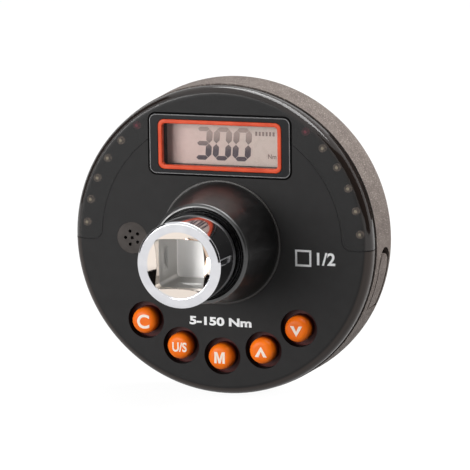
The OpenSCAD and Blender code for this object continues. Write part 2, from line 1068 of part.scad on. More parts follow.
module battery_cell() {
    color([0.75, 0.75, 0.76])
        translate([0, battery_y]) {
            disc(cell_r, cell_front + cell_cup_t, cell_back);
            disc(cell_cup_r, cell_front, cell_front + cell_cup_t + seat);
        }
}

module minus_contact() {
    top = -board_back - seat / 2;
    low = -cell_front + seat / 2;
    color([0.85, 0.75, 0.45])
        translate([0, battery_y + leaf_w / 2])
            rotate([90, 0, 0])
                linear_extrude(leaf_w)
                    polygon([
                        [-leaf_base, top],
                        [leaf_base, top],
                        [leaf_base + leaf_t, top - leaf_t],
                        [0, low],
                        [-leaf_w, low + 2 * leaf_t],
                        [-leaf_w, low + 3 * leaf_t],
                        [0, low + leaf_t],
                        [leaf_base - leaf_t, top - leaf_t],
                        [-leaf_base, top - leaf_t]
                    ]);
}

module plus_contact() {
    inner_y = battery_y + cell_r + seat / 2;
    color([0.85, 0.75, 0.45]) {
        translate([-leaf_w / 2, inner_y])
            slab(board_back + seat / 2, cell_back - leaf_short)
                square([leaf_w, leaf_t]);
        translate([-leaf_w / 2, inner_y])
            slab(board_back + seat / 2, board_back + seat / 2 + leaf_t)
                square([leaf_w, leaf_w]);
    }
}

module battery_cap() {
    cap_back = back_depth - cap_sink;
    color([0.3, 0.29, 0.28])
        translate([0, battery_y])
            difference() {
                union() {
                    disc(cap_r, cap_floor + seat, cap_back);
                    disc(cap_spigot_r, cap_spigot_end, cap_floor + 2 * seat);
                    for (turn = [0, 180])
                        rotate([0, 0, turn])
                            slab(cap_spigot_end, lip_end - seat)
                                ring_part(cap_spigot_r - cut, lug_r, -lug_angle / 2, lug_angle / 2);
                }
                slab(cap_back - cap_slot_deep, cap_back + cut)
                    square([cap_slot_l, cap_slot_w], center = true);
                band(
                    cap_seal_in_r - seat,
                    cap_seal_out_r + seat,
                    cap_floor,
                    cap_floor + seat + cap_seal_t + seat
                );
            }
}

module cap_seal() {
    color([0.03, 0.03, 0.03])
        translate([0, battery_y])
            band(cap_seal_in_r, cap_seal_out_r, cap_floor + seat / 2, cap_floor + seat + cap_seal_t);
}

module port_socket() {
    middle = board_back + socket_h / 2 + seat / 2;
    hole_h = socket_h - 2 * socket_shell;
    hole_w = socket_w - 2 * socket_shell;
    color([0.7, 0.7, 0.72])
        rotate([0, 0, port_angle])
            translate([socket_mouth_r - socket_l, 0, -middle])
                rotate([0, 90, 0]) {
                    difference() {
                        linear_extrude(socket_l)
                            square([socket_h, socket_w], center = true);
                        translate([0, 0, socket_floor])
                            linear_extrude(socket_l)
                                square([hole_h, hole_w], center = true);
                    }
                    translate([0, 0, socket_floor - seat])
                        linear_extrude(tongue_l)
                            square([tongue_h, tongue_w], center = true);
                }
}

module port_cover() {
    top_angle = 30;
    tail_angle = asin((pin_t - cover_tail) / cover_mid_r);
    color([0.36, 0.34, 0.33])
        difference() {
            intersection() {
                slab(port_depth - port_w, port_depth + port_w)
                    rotate([0, 0, port_angle])
                        ring_part(cover_in_r, case_r, tail_angle, top_angle);
                port_prism(cover_l, cover_w, cover_low_t + cover_l / 2, cover_in_r - cover_cut, case_r + cut);
            }
            port_pin_hole(pin_r + run, port_w);
        }
}

module cover_pin() {
    color([0.6, 0.6, 0.62])
        port_pin_hole(pin_r, pin_half_l);
}

module detent_ball() {
    color([0.7, 0.7, 0.72])
        translate([0, ball_y, -ball_depth])
            sphere(ball_r);
}

// Points round the wire of the coil at one step
function coil_ring(step, rise) = [
    for (j = [0 : coil_sides - 1])
        let (turn = step * 360 / coil_steps, side = j * 360 / coil_sides)
            [
                (coil_r + coil_wire_r * cos(side)) * cos(turn),
                (coil_r + coil_wire_r * cos(side)) * sin(turn),
                coil_wire_r * sin(side) + step * rise
            ]
];

module detent_spring() {
    steps = coil_turns * coil_steps;
    room = ball_y - ball_r - ball_bore_floor - 2 * coil_wire_r - 2 * seat;
    rise = room / steps;
    points = [for (i = [0 : steps]) each coil_ring(i, rise)];
    last = steps * coil_sides;
    sides = [
        for (i = [0 : steps - 1], j = [0 : coil_sides - 1])
            let (k = (j + 1) % coil_sides)
                [
                    i * coil_sides + j,
                    (i + 1) * coil_sides + j,
                    (i + 1) * coil_sides + k,
                    i * coil_sides + k
                ]
    ];
    ends = [
        [for (j = [0 : coil_sides - 1]) j],
        [for (j = [coil_sides - 1 : -1 : 0]) last + j]
    ];
    color([0.5, 0.5, 0.52])
        translate([0, ball_bore_floor + coil_wire_r + seat, -ball_depth])
            rotate([-90, 0, 0])
                polyhedron(points, concat(sides, ends), convexity = 10);
}

in_place() front_cover();
in_place() led_lens();
in_place() window_frame();
in_place() accent_frame();
in_place() display_window();
in_place() light_box();
in_place() display_panel();
in_place() display_strips();
in_place() buzzer_grille();
in_place() buzzer();
in_place() neck_sleeve();
in_place() neck_screws();
in_place() mouth_seal();
in_place() drive_spindle();
in_place() strain_gauges();
in_place() gauge_ribbon();
in_place() main_board();
in_place() led_boards();
in_place() led_pins();
in_place() red_leds();
in_place() pale_leds();
in_place() control_chips();
in_place() gyro_sensor();
in_place() switch_cases();
in_place() key(0);  // key_clear
in_place() key(1);  // key_unit
in_place() key(2);  // key_mode
in_place() key(3);  // key_up
in_place() key(4);  // key_down
in_place() plunger(0);  // plunger_clear
in_place() plunger(1);  // plunger_unit
in_place() plunger(2);  // plunger_mode
in_place() plunger(3);  // plunger_up
in_place() plunger(4);  // plunger_down
in_place() case_gasket();
in_place() rear_housing();
in_place() hub_seal();
in_place() retaining_ring();
in_place() set_screws();
in_place() case_screws();
in_place() battery_cell();
in_place() minus_contact();
in_place() plus_contact();
in_place() battery_cap();
in_place() cap_seal();
in_place() port_socket();
in_place() port_cover();
in_place() cover_pin();
in_place() detent_ball();
in_place() detent_spring();
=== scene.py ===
"""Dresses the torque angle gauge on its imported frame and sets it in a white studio.

Sizes are in millimetres in the gauge's own frame: x to the right, y into the case, z up, with the
output shoulder at the origin. Each mesh is brought to metres when it is finished.
"""

import logging
import math
from collections.abc import Iterable, Sequence
from dataclasses import dataclass, replace
from enum import Enum

import bmesh
import bpy
from bmesh.types import BMEdge, BMesh, BMVert
from mathutils import Matrix, Vector


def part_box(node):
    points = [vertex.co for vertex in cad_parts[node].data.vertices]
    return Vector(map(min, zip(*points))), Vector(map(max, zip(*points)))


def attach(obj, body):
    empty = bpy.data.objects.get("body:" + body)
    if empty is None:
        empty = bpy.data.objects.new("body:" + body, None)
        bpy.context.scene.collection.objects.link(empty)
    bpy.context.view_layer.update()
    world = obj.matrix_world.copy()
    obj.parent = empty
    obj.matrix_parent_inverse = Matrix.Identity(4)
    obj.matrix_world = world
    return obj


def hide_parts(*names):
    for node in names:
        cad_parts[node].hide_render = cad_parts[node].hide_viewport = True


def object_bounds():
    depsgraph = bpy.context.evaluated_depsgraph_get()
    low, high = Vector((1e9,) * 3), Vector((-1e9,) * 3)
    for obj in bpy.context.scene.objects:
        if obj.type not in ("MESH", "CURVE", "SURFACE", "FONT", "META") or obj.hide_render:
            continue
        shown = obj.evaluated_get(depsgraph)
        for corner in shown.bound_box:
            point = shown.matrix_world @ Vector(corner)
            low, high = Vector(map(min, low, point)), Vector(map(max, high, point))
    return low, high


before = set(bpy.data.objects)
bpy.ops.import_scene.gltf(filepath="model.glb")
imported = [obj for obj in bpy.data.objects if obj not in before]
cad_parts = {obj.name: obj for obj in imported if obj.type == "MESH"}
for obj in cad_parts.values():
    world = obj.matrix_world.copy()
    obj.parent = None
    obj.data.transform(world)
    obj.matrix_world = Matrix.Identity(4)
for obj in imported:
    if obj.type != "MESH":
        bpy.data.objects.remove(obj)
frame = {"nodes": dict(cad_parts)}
cad_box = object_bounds()

MM = 0.001
MERGE_MM = 0.0005
FULL_TURN = 2 * math.pi
FACE_Y = -28.5
GAUGE = "gauge"

# How many finer layers a fine pattern has
FINE_DETAIL = 3.0
# Roughness of a surface with no gloss
MATT = 0.9

Rgb = tuple[int, int, int]
Point = tuple[float, float]
Place = tuple[float, float, float]
Material = bpy.types.Material
Socket = bpy.types.NodeSocket

log = logging.getLogger("torque_angle_gauge")


class Slot(Enum):
    """The finishes that the gauge's record names."""

    COVER = "cover_plastic"
    LENS = "smoked_lens"
    BEZEL = "bezel_plastic"
    ACCENT = "accent_plastic"
    WINDOW = "clear_window"
    BLACK = "black_plastic"
    PANEL = "display_glass"
    STRIP = "contact_rubber"
    GRILLE = "grille_plastic"
    NECK = "neck_plastic"
    STEEL = "fastener_steel"
    SEAL = "seal_rubber"
    CHROME = "drive_chrome"
    FOIL = "gauge_foil"
    BOARD = "board_laminate"
    CONTACT = "contact_metal"
    RED_LAMP = "red_lamp"
    PALE_LAMP = "pale_lamp"
    DARK_STEEL = "dark_steel"
    HOUSING = "housing_plastic"
    CELL = "cell_steel"
    KEY = "key_rubber"
    PLUNGER = "plunger_plastic"


class KeyName(Enum):
    """The five keys, from left to right."""

    CLEAR = "clear"
    UNIT = "unit"
    MODE = "mode"
    UP = "up"
    DOWN = "down"

    @property
    def node(self) -> str:
        """Name of the key's solid."""
        return f"key_{self.value}"

    @property
    def body(self) -> str:
        """Name of the body that the key moves with."""
        return f"key_{self.value}_body"


def linear(colour: Rgb) -> tuple[float, float, float, float]:
    """Turns a colour as a screen shows it into the values that a shader takes.

    Args:
        colour: Red, green and blue from 0 to 255.

    Returns:
        The same colour in linear light, with full opacity.
    """
    parts = [c / 255 for c in colour]
    red, green, blue = (p / 12.92 if p <= 0.04045 else ((p + 0.055) / 1.055) ** 2.4 for p in parts)
    return red, green, blue, 1.0


class NodeBench:
    """A material's node tree while it is put together."""

    # Numbers of a mix node's colour sockets
    MIX_FACTOR, MIX_FIRST, MIX_SECOND, MIX_RESULT = 0, 6, 7, 2

    def __init__(self, name: str) -> None:
        """Starts a material with one shader on its output.

        Args:
            name: Name of the material.
        """
        self.material = bpy.data.materials.new(name)
        self.material.use_nodes = True
        self.tree = self.material.node_tree
        self.tree.nodes.clear()
        self.shader = self.add("ShaderNodeBsdfPrincipled")
        output = self.add("ShaderNodeOutputMaterial")
        self.tree.links.new(self.shader.outputs["BSDF"], output.inputs["Surface"])
        self.place = self.add("ShaderNodeTexCoord").outputs["Object"]

    def fill(self, node: bpy.types.Node, values: dict[str | int, object]) -> bpy.types.Node:
        """Sets a node's inputs, and joins those that get a socket.

        Args:
            node: The node.
            values: Plain values or sockets, by the inputs' names or numbers.

        Returns:
            The same node.
        """
        for key, value in values.items():
            if isinstance(value, Socket):
                self.tree.links.new(value, node.inputs[key])
            else:
                node.inputs[key].default_value = value
        return node

    def add(self, kind: str, **values: object) -> bpy.types.Node:
        """Adds a node, with its inputs by their names with _ for a space."""
        return self.fill(self.tree.nodes.new(kind), {k.replace("_", " "): v for k, v in values.items()})

    def set(self, **values: object) -> None:
        """Sets the shader's own inputs, by their names with _ for a space."""
        self.fill(self.shader, {k.replace("_", " "): v for k, v in values.items()})

    def reckon(self, kind: str, operation: str, *sources: Socket) -> bpy.types.Node:
        """Adds a node that works on patterns.

        Args:
            kind: Blender's name of the node type.
            operation: What it does.
            *sources: The patterns.

        Returns:
            The new node.
        """
        node = self.add(kind)
        node.operation = operation
        return self.fill(node, dict(enumerate(sources)))

    def stretched(self, scale: Sequence[float]) -> Socket:
        """Gives the place on the piece with each axis scaled, for patterns with a direction."""
        return self.add("ShaderNodeMapping", Scale=scale, Vector=self.place).outputs["Vector"]

    def noise(self, size_mm: float, detail: float = 2.0, place: Socket | None = None) -> Socket:
        """Makes a cloudy pattern.

        Args:
            size_mm: Size of one cloud.
            detail: How many finer layers it has.
            place: Coordinates that it reads, the piece's own where none are given.

        Returns:
            The pattern, from 0 to 1.
        """
        scale = 1 / (size_mm * MM)
        node = self.add("ShaderNodeTexNoise", Scale=scale, Detail=detail, Vector=place or self.place)
        return node.outputs["Fac"]

    def spread(
        self, source: Socket, low: float, high: float, start: float = 0.35, end: float = 0.65
    ) -> Socket:
        """Spreads a pattern's middle range over new limits.

        Args:
            source: The pattern.
            low: Result at start.
            high: Result at end.
            start: Lower limit of the range that is read.
            end: Upper limit of the range that is read.

        Returns:
            The pattern between low and high.
        """
        limits = {"From_Min": start, "From_Max": end, "To_Min": low, "To_Max": high}
        return self.add("ShaderNodeMapRange", Value=source, **limits).outputs["Result"]

    def blend(self, factor: Socket, first: Socket | Rgb, second: Socket | Rgb) -> Socket:
        """Mixes two colours by a pattern.

        Args:
            factor: The pattern, 0 for the first colour.
            first: A colour or the socket of one.
            second: A colour or the socket of one.

        Returns:
            The mixed colour.
        """
        node = self.add("ShaderNodeMix")
        node.data_type = "RGBA"
        a, b = (colour if isinstance(colour, Socket) else linear(colour) for colour in (first, second))
        self.fill(node, {self.MIX_FACTOR: factor, self.MIX_FIRST: a, self.MIX_SECOND: b})
        return node.outputs[self.MIX_RESULT]

    def ramp_along(self, axis: str, start_mm: float, end_mm: float) -> Socket:
        """Makes a ramp from 0 to 1 along one axis of the piece.

        Args:
            axis: X, Y or Z.
            start_mm: Where the ramp is 0.
            end_mm: Where the ramp is 1.

        Returns:
            The ramp.
        """
        parts = self.add("ShaderNodeSeparateXYZ", Vector=self.place)
        return self.spread(parts.outputs[axis], 0.0, 1.0, start_mm * MM, end_mm * MM)

    def radius(self) -> Socket:
        """Gives the distance from the drive axis."""
        flat = self.stretched((1.0, 0.0, 1.0))
        return self.reckon("ShaderNodeVectorMath", "LENGTH", flat).outputs["Value"]

    def times(self, first: Socket, second: Socket) -> Socket:
        """Multiplies two patterns."""
        return self.reckon("ShaderNodeMath", "MULTIPLY", first, second).outputs[0]

    def bump(self, height: Socket, depth_mm: float, strength: float, edge_mm: float = 0.0) -> None:
        """Raises the surface by a pattern.

        Args:
            height: The pattern.
            depth_mm: Height of the pattern's full range.
            strength: Share of the effect, up to 1.
            edge_mm: Rounding that sharp edges show in what they mirror.
        """
        node = self.add("ShaderNodeBump", Strength=strength, Distance=depth_mm * MM, Height=height)
        if edge_mm:
            rounding = self.add("ShaderNodeBevel", Radius=edge_mm * MM)
            self.fill(node, {"Normal": rounding.outputs["Normal"]})
        self.set(Normal=node.outputs["Normal"])


@dataclass(frozen=True)
class Finish:
    """A moulded or painted surface with drifting colour, uneven gloss and grain."""

    name: str
    colour: Rgb
    drift: Rgb
    roughness: Point = (0.45, 0.58)
    metallic: float = 0.0
    specular: float = 0.4
    drift_mm: float = 4.0
    grain_mm: float = 0.35
    grain_depth_mm: float = 0.02
    grain_strength: float = 0.2
    edge_mm: float = 0.0

    def build(self) -> Material:
        """Makes the material.

        Returns:
            The finished material.
        """
        bench = NodeBench(self.name)
        bench.set(Metallic=self.metallic, Specular_IOR_Level=self.specular)
        bench.set(Base_Color=self.paint(bench), Roughness=self.gloss(bench))
        bench.bump(self.grain(bench), self.grain_depth_mm, self.grain_strength, self.edge_mm)
        self.add_extras(bench)
        return bench.material

    def paint(self, bench: NodeBench) -> Socket:
        """Gives the drifting base colour."""
        clouds = bench.spread(bench.noise(self.drift_mm, FINE_DETAIL), 0.0, 1.0)
        return bench.blend(clouds, self.colour, self.drift)

    @property
    def even_roughness(self) -> float:
        """Middle of the roughness."""
        return sum(self.roughness) / 2

    def gloss(self, bench: NodeBench) -> Socket:
        """Gives the uneven roughness."""
        return bench.spread(bench.noise(self.drift_mm / 2), *self.roughness)

    def grain(self, bench: NodeBench) -> Socket:
        """Gives the height pattern of the grain."""
        return bench.noise(self.grain_mm)

    def add_extras(self, bench: NodeBench) -> None:
        """Leaves the shader as it is."""


@dataclass(frozen=True)
class SpeckledFinish(Finish):
    """A moulded surface with fine bright specks."""

    specks: Rgb = (200, 190, 180)
    speck_mm: float = 0.3
    speck_limits: Point = (0.62, 0.74)

    def paint(self, bench: NodeBench) -> Socket:
        """Lays the specks over the drifting base colour."""
        specks = bench.spread(bench.noise(self.speck_mm, 0.0), 0.0, 1.0, *self.speck_limits)
        return bench.blend(specks, super().paint(bench), self.specks)


@dataclass(frozen=True)
class PolishedFinish(Finish):
    """A plated or ground metal with fine scratches along one direction."""

    scratch_scale: Place = (1.0, 0.06, 1.0)

    def grain(self, bench: NodeBench) -> Socket:
        """Gives the height pattern of the scratches."""
        return bench.noise(self.grain_mm, FINE_DETAIL, bench.stretched(self.scratch_scale))


@dataclass(frozen=True)
class DriveFinish(PolishedFinish):
    """Chrome that is bright outside, with a painted warm reflection in the lead-in, painted shade on the
    socket's rougher walls and painted light on the socket's floor.
    """

    # Painted colours: a warm reflection in the lead-in, shade on the socket's walls and light on its floor.
    lead_painted_reflection: Rgb = (234, 222, 211)
    lead_y: Point = (-61.55, -61.3)
    socket_wall_painted_shade: Rgb = (190, 189, 187)
    socket_roughness: float = 0.5
    socket_r: Point = (9.6, 8.9)
    socket_y: Point = (-58.6, -58.0)
    socket_floor_painted_light: Rgb = (250, 249, 248)
    floor_y: Point = (-45.0, -44.5)

    def inside(self, bench: NodeBench, depths: Point) -> Socket:
        """Marks the inside of the socket from a depth on."""
        near = bench.spread(bench.radius(), 0.0, 1.0, *(r * MM for r in self.socket_r))
        return bench.times(near, bench.ramp_along("Y", *depths))

    def paint(self, bench: NodeBench) -> Socket:
        """Paints a warm reflection into the lead-in, shade onto the socket's walls and light onto its floor.

        Args:
            bench: The material's node tree.

        Returns:
            The colour.
        """
        floor = bench.ramp_along("Y", *self.floor_y)
        socket = bench.blend(floor, self.socket_wall_painted_shade, self.socket_floor_painted_light)
        outside = bench.blend(self.inside(bench, self.lead_y), super().paint(bench), self.lead_painted_reflection)
        return bench.blend(self.inside(bench, self.socket_y), outside, socket)

    def gloss(self, bench: NodeBench) -> Socket:
        """Roughens the walls of the socket."""
        walls = self.inside(bench, self.socket_y)
        return bench.spread(walls, self.even_roughness, self.socket_roughness, 0.0, 1.0)


@dataclass(frozen=True)
class SeeThroughFinish(Finish):
    """A clear moulding that shows most of what is behind it."""

    opacity: float = 0.5

    def add_extras(self, bench: NodeBench) -> None:
        """Lets part of the background through."""
        bench.set(Alpha=self.opacity)


@dataclass(frozen=True)
class EdgeFinish(Finish):
    """A moulding that is matt on the face and glossy round the side."""

    opacity: float = 1.0
    side_colour: Rgb = (36, 29, 26)
    side_roughness: float = 0.08
    side_specular: float = 0.6
    side_r: Point = (39.0, 39.6)

    def toward_side(self, bench: NodeBench, face: float, side: float) -> Socket:
        """Gives one value on the face and another round the side."""
        return bench.spread(bench.radius(), face, side, *(r * MM for r in self.side_r))

    def paint(self, bench: NodeBench) -> Socket:
        """Lets the face's colour run over into the side's."""
        return bench.blend(self.toward_side(bench, 0.0, 1.0), super().paint(bench), self.side_colour)

    def gloss(self, bench: NodeBench) -> Socket:
        """Polishes the side."""
        return self.toward_side(bench, self.even_roughness, self.side_roughness)

    def add_extras(self, bench: NodeBench) -> None:
        """Lets part of the background through and makes the side mirror more."""
        specular = self.toward_side(bench, self.specular, self.side_specular)
        bench.set(Alpha=self.opacity, Specular_IOR_Level=specular)


@dataclass(frozen=True)
class GlowFinish(Finish):
    """A painted glow: emission on the unlit lamps and round them."""

    glow: Rgb = (255, 255, 255)
    glow_strength: float = 1.0
    patch_mm: float = 0.0
    patch_limits: Point = (0.4, 0.6)

    def add_extras(self, bench: NodeBench) -> None:
        """Paints the glow as the surface's own light, in patches where they have a size.

        Args:
            bench: The material's node tree.
        """
        bench.set(Emission_Color=linear(self.glow), Emission_Strength=self.glow_strength)
        if self.patch_mm:
            patches = bench.noise(self.patch_mm)
            strength = bench.spread(patches, 0.0, 2 * self.glow_strength, *self.patch_limits)
            bench.set(Emission_Strength=strength)


@dataclass(frozen=True)
class RampFinish(Finish):
    """A surface whose colour changes along one axis."""

    far_colour: Rgb = (255, 255, 255)
    axis: str = "X"
    start_mm: float = 0.0
    end_mm: float = 1.0

    def paint(self, bench: NodeBench) -> Socket:
        """Lets the drifting colour run over into the far colour."""
        ramp = bench.ramp_along(self.axis, self.start_mm, self.end_mm)
        return bench.blend(ramp, super().paint(bench), self.far_colour)


FINISHES: dict[Slot, Finish] = {
    Slot.COVER: EdgeFinish(
        "charcoal_cover", (27, 26, 26), (23, 22, 22), (0.5, 0.62), specular=0.19,
        side_colour=(54, 46, 42), side_roughness=0.3, side_specular=0.3,
    ),
    Slot.LENS: EdgeFinish(
        "smoked_arch", (21, 20, 20), (17, 16, 16), (0.5, 0.58), specular=0.25, opacity=0.85,
        grain_strength=0.05,
    ),
    Slot.BEZEL: Finish("bezel_satin", (16, 16, 19), (13, 13, 15), (0.28, 0.36), specular=0.12),
    Slot.ACCENT: Finish("accent_orange", (224, 82, 42), (206, 68, 34), (0.4, 0.5), specular=0.25),
    Slot.WINDOW: SeeThroughFinish("clear_pane", (120, 116, 114), (110, 106, 104), (0.03, 0.05), opacity=0.04),
    Slot.BLACK: Finish("black_moulding", (16, 12, 12), (24, 18, 18), (0.35, 0.5), specular=0.2),
    # The panel is painted pinker and lighter at the left: a painted reflection of the orange frame, and
    # painted light against the shade of the left wall.
    Slot.PANEL: RampFinish(
        "display_glass", (222, 192, 184), (214, 184, 176), (0.25, 0.35),
        far_colour=(208, 192, 182), axis="X", start_mm=-15.0, end_mm=9.0,
    ),
    Slot.STRIP: Finish("contact_rubber", (196, 122, 132), (176, 104, 116), (0.6, 0.75)),
    Slot.GRILLE: Finish("grille_moulding", (64, 58, 55), (56, 51, 48), (0.5, 0.62), specular=0.22),
    Slot.NECK: Finish("neck_satin", (9, 8, 8), (6, 5, 5), (0.3, 0.38), specular=1.0),
    Slot.STEEL: PolishedFinish(
        "fastener_steel", (176, 176, 178), (156, 156, 160), (0.22, 0.36), metallic=1.0
    ),
    Slot.SEAL: Finish("seal_rubber", (12, 11, 11), (18, 16, 16), (0.22, 0.34)),
    # The chrome carries a painted reflection in its lead-in and painted shade and light in its socket.
    Slot.CHROME: DriveFinish(
        "drive_chrome", (216, 216, 219), (208, 208, 212), (0.04, 0.1), metallic=1.0,
        grain_mm=0.6, grain_depth_mm=0.004, grain_strength=0.25, edge_mm=0.3,
    ),
    Slot.FOIL: Finish("gauge_foil", (196, 148, 72), (176, 128, 58), (0.3, 0.45)),
    Slot.BOARD: Finish("board_laminate", (22, 74, 44), (16, 60, 36), (0.35, 0.5)),
    Slot.CONTACT: PolishedFinish(
        "contact_metal", (214, 184, 120), (196, 166, 104), (0.2, 0.35), metallic=1.0
    ),
    # The lamps are unlit; their emission is a painted glow for the light they show through the smoked lens.
    Slot.RED_LAMP: GlowFinish(
        "red_lamp", (200, 60, 76), (180, 48, 64), glow=(236, 96, 128), glow_strength=0.7
    ),
    Slot.PALE_LAMP: GlowFinish(
        "pale_lamp", (226, 216, 188), (206, 196, 168), glow=(255, 238, 206), glow_strength=1.1
    ),
    Slot.DARK_STEEL: PolishedFinish("dark_steel", (74, 74, 78), (60, 60, 64), (0.3, 0.45), metallic=1.0),
    Slot.HOUSING: SpeckledFinish(
        "housing_grain", (107, 99, 94), (98, 90, 86), (0.5, 0.64), specular=0.03,
        grain_mm=0.4, grain_depth_mm=0.04, grain_strength=0.4, specks=(150, 140, 134),
    ),
    Slot.CELL: PolishedFinish("cell_steel", (206, 206, 204), (186, 186, 186), (0.18, 0.3), metallic=1.0),
    # The keys are painted dark red down their sides and flange, deep in the wells: painted shade on one
    # orange rubber.
    Slot.KEY: RampFinish(
        "key_orange", (255, 122, 12), (248, 110, 8), (0.36, 0.46), specular=0.25,
        far_colour=(70, 10, 5), axis="Y", start_mm=FACE_Y - 1.0, end_mm=FACE_Y + 1.6,
    ),
    Slot.PLUNGER: Finish("plunger_plastic", (24, 24, 26), (34, 34, 36), (0.35, 0.5)),
}

PRINT_WHITE = Finish("printed_white", (250, 250, 250), (242, 242, 242), (0.5, 0.6), drift_mm=0.8)
LEGEND_CREAM = Finish("legend_cream", (255, 240, 226), (250, 234, 220), (0.5, 0.6), drift_mm=0.8)
# A painted highlight: the pale line on the display plate's rim stands in for light on its bevel.
EDGE_SHEEN = Finish("edge_sheen", (106, 105, 106), (92, 91, 92), (0.25, 0.35), specular=0.5, drift_mm=1.5)
# A painted highlight: the bead at the neck's foot is painted lighter than the black neck.
FOOT_SHEEN = Finish("foot_sheen", (50, 47, 45), (43, 40, 38), (0.3, 0.4), specular=0.35, drift_mm=1.5)
# Painted glow in patches on the cups round each lamp.
RED_PAINTED_GLOW = GlowFinish(
    "red_painted_glow", (120, 50, 60), (100, 40, 50), glow=(210, 90, 110), glow_strength=0.24,
    patch_mm=0.3, drift_mm=0.7,
)
PALE_PAINTED_GLOW = GlowFinish(
    "pale_painted_glow", (130, 120, 104), (100, 92, 80), glow=(226, 200, 180), glow_strength=0.4,
    patch_mm=0.3, drift_mm=0.7,
)
MARK_INK = Finish("mark_ink", (128, 110, 104), (140, 120, 114), (0.4, 0.5), drift_mm=0.6)
SEAM_DARK = Finish("seam_dark", (14, 13, 13), (20, 19, 19), (0.5, 0.6), specular=0.1)
# Black of the gap round the display plate, laid wider over the face as painted shade.
GAP_AND_SHADE_BLACK = Finish("gap_and_painted_shade", (5, 5, 5), (8, 7, 7), (0.6, 0.7), specular=0.02)
# The digits are painted dark at the bottom and pale at the top: the pale upper halves are painted light, not
# the ink's colour.
DIGIT_INK_PAINTED_FADE = RampFinish(
    "digit_ink_painted_fade", (58, 44, 54), (66, 50, 58), (0.4, 0.5), drift_mm=0.6,
    far_colour=(168, 148, 140), axis="Z", start_mm=23.5, end_mm=28.0,
)


class Paintshop:
    """Keeps one material for each finish."""

    def __init__(self) -> None:
        """Starts with no materials made."""
        self.made: dict[str, Material] = {}

    def material(self, finish: Finish) -> Material:
        """Gives a finish's material, made on first use.

        Args:
            finish: The finish.

        Returns:
            Its material.
        """
        if finish.name not in self.made:
            self.made[finish.name] = finish.build()
        return self.made[finish.name]

    def dress_solids(self, nodes: dict[str, bpy.types.Object]) -> None:
        """Gives every solid the finish of its slot.

        Args:
            nodes: The frame's solids by name.
        """
        for name, solid in nodes.items():
            slot = Slot(solid.data.materials[0].name.split(".")[0])
            solid.material_slots[0].material = self.material(FINISHES[slot])
            log.info("solid %s has the finish %s", name, FINISHES[slot].name)


@dataclass(frozen=True)
class Corner:
    """A corner of a turned outline, with its radius, its depth along the axis and its rounding."""

    radius: float
    depth: float
    rounding: float = 0.0


@dataclass(frozen=True)
class Pane:
    """An upright rectangle with round corners."""

    size: Point
    centre: Point
    corner: float = 0.0

    def grown(self, by: float) -> "Pane":
        """Gives a rectangle that is larger on every side."""
        width, height = self.size
        return Pane((width + 2 * by, height + 2 * by), self.centre, self.corner + by)

    @property
    def outline(self) -> list[Point]:
        """Outline of the rectangle.

        Returns:
            Four corners in order, as x and z.
        """
        x, z = self.centre
        half_w, half_h = self.size[0] / 2, self.size[1] / 2
        left, right, low, high = x - half_w, x + half_w, z - half_h, z + half_h
        return [(left, low), (right, low), (right, high), (left, high)]


def picked(made: Iterable[object], kind: type) -> list[object]:
    """Gives the items of one kind out of what an operator made."""
    return [item for item in made if isinstance(item, kind)]


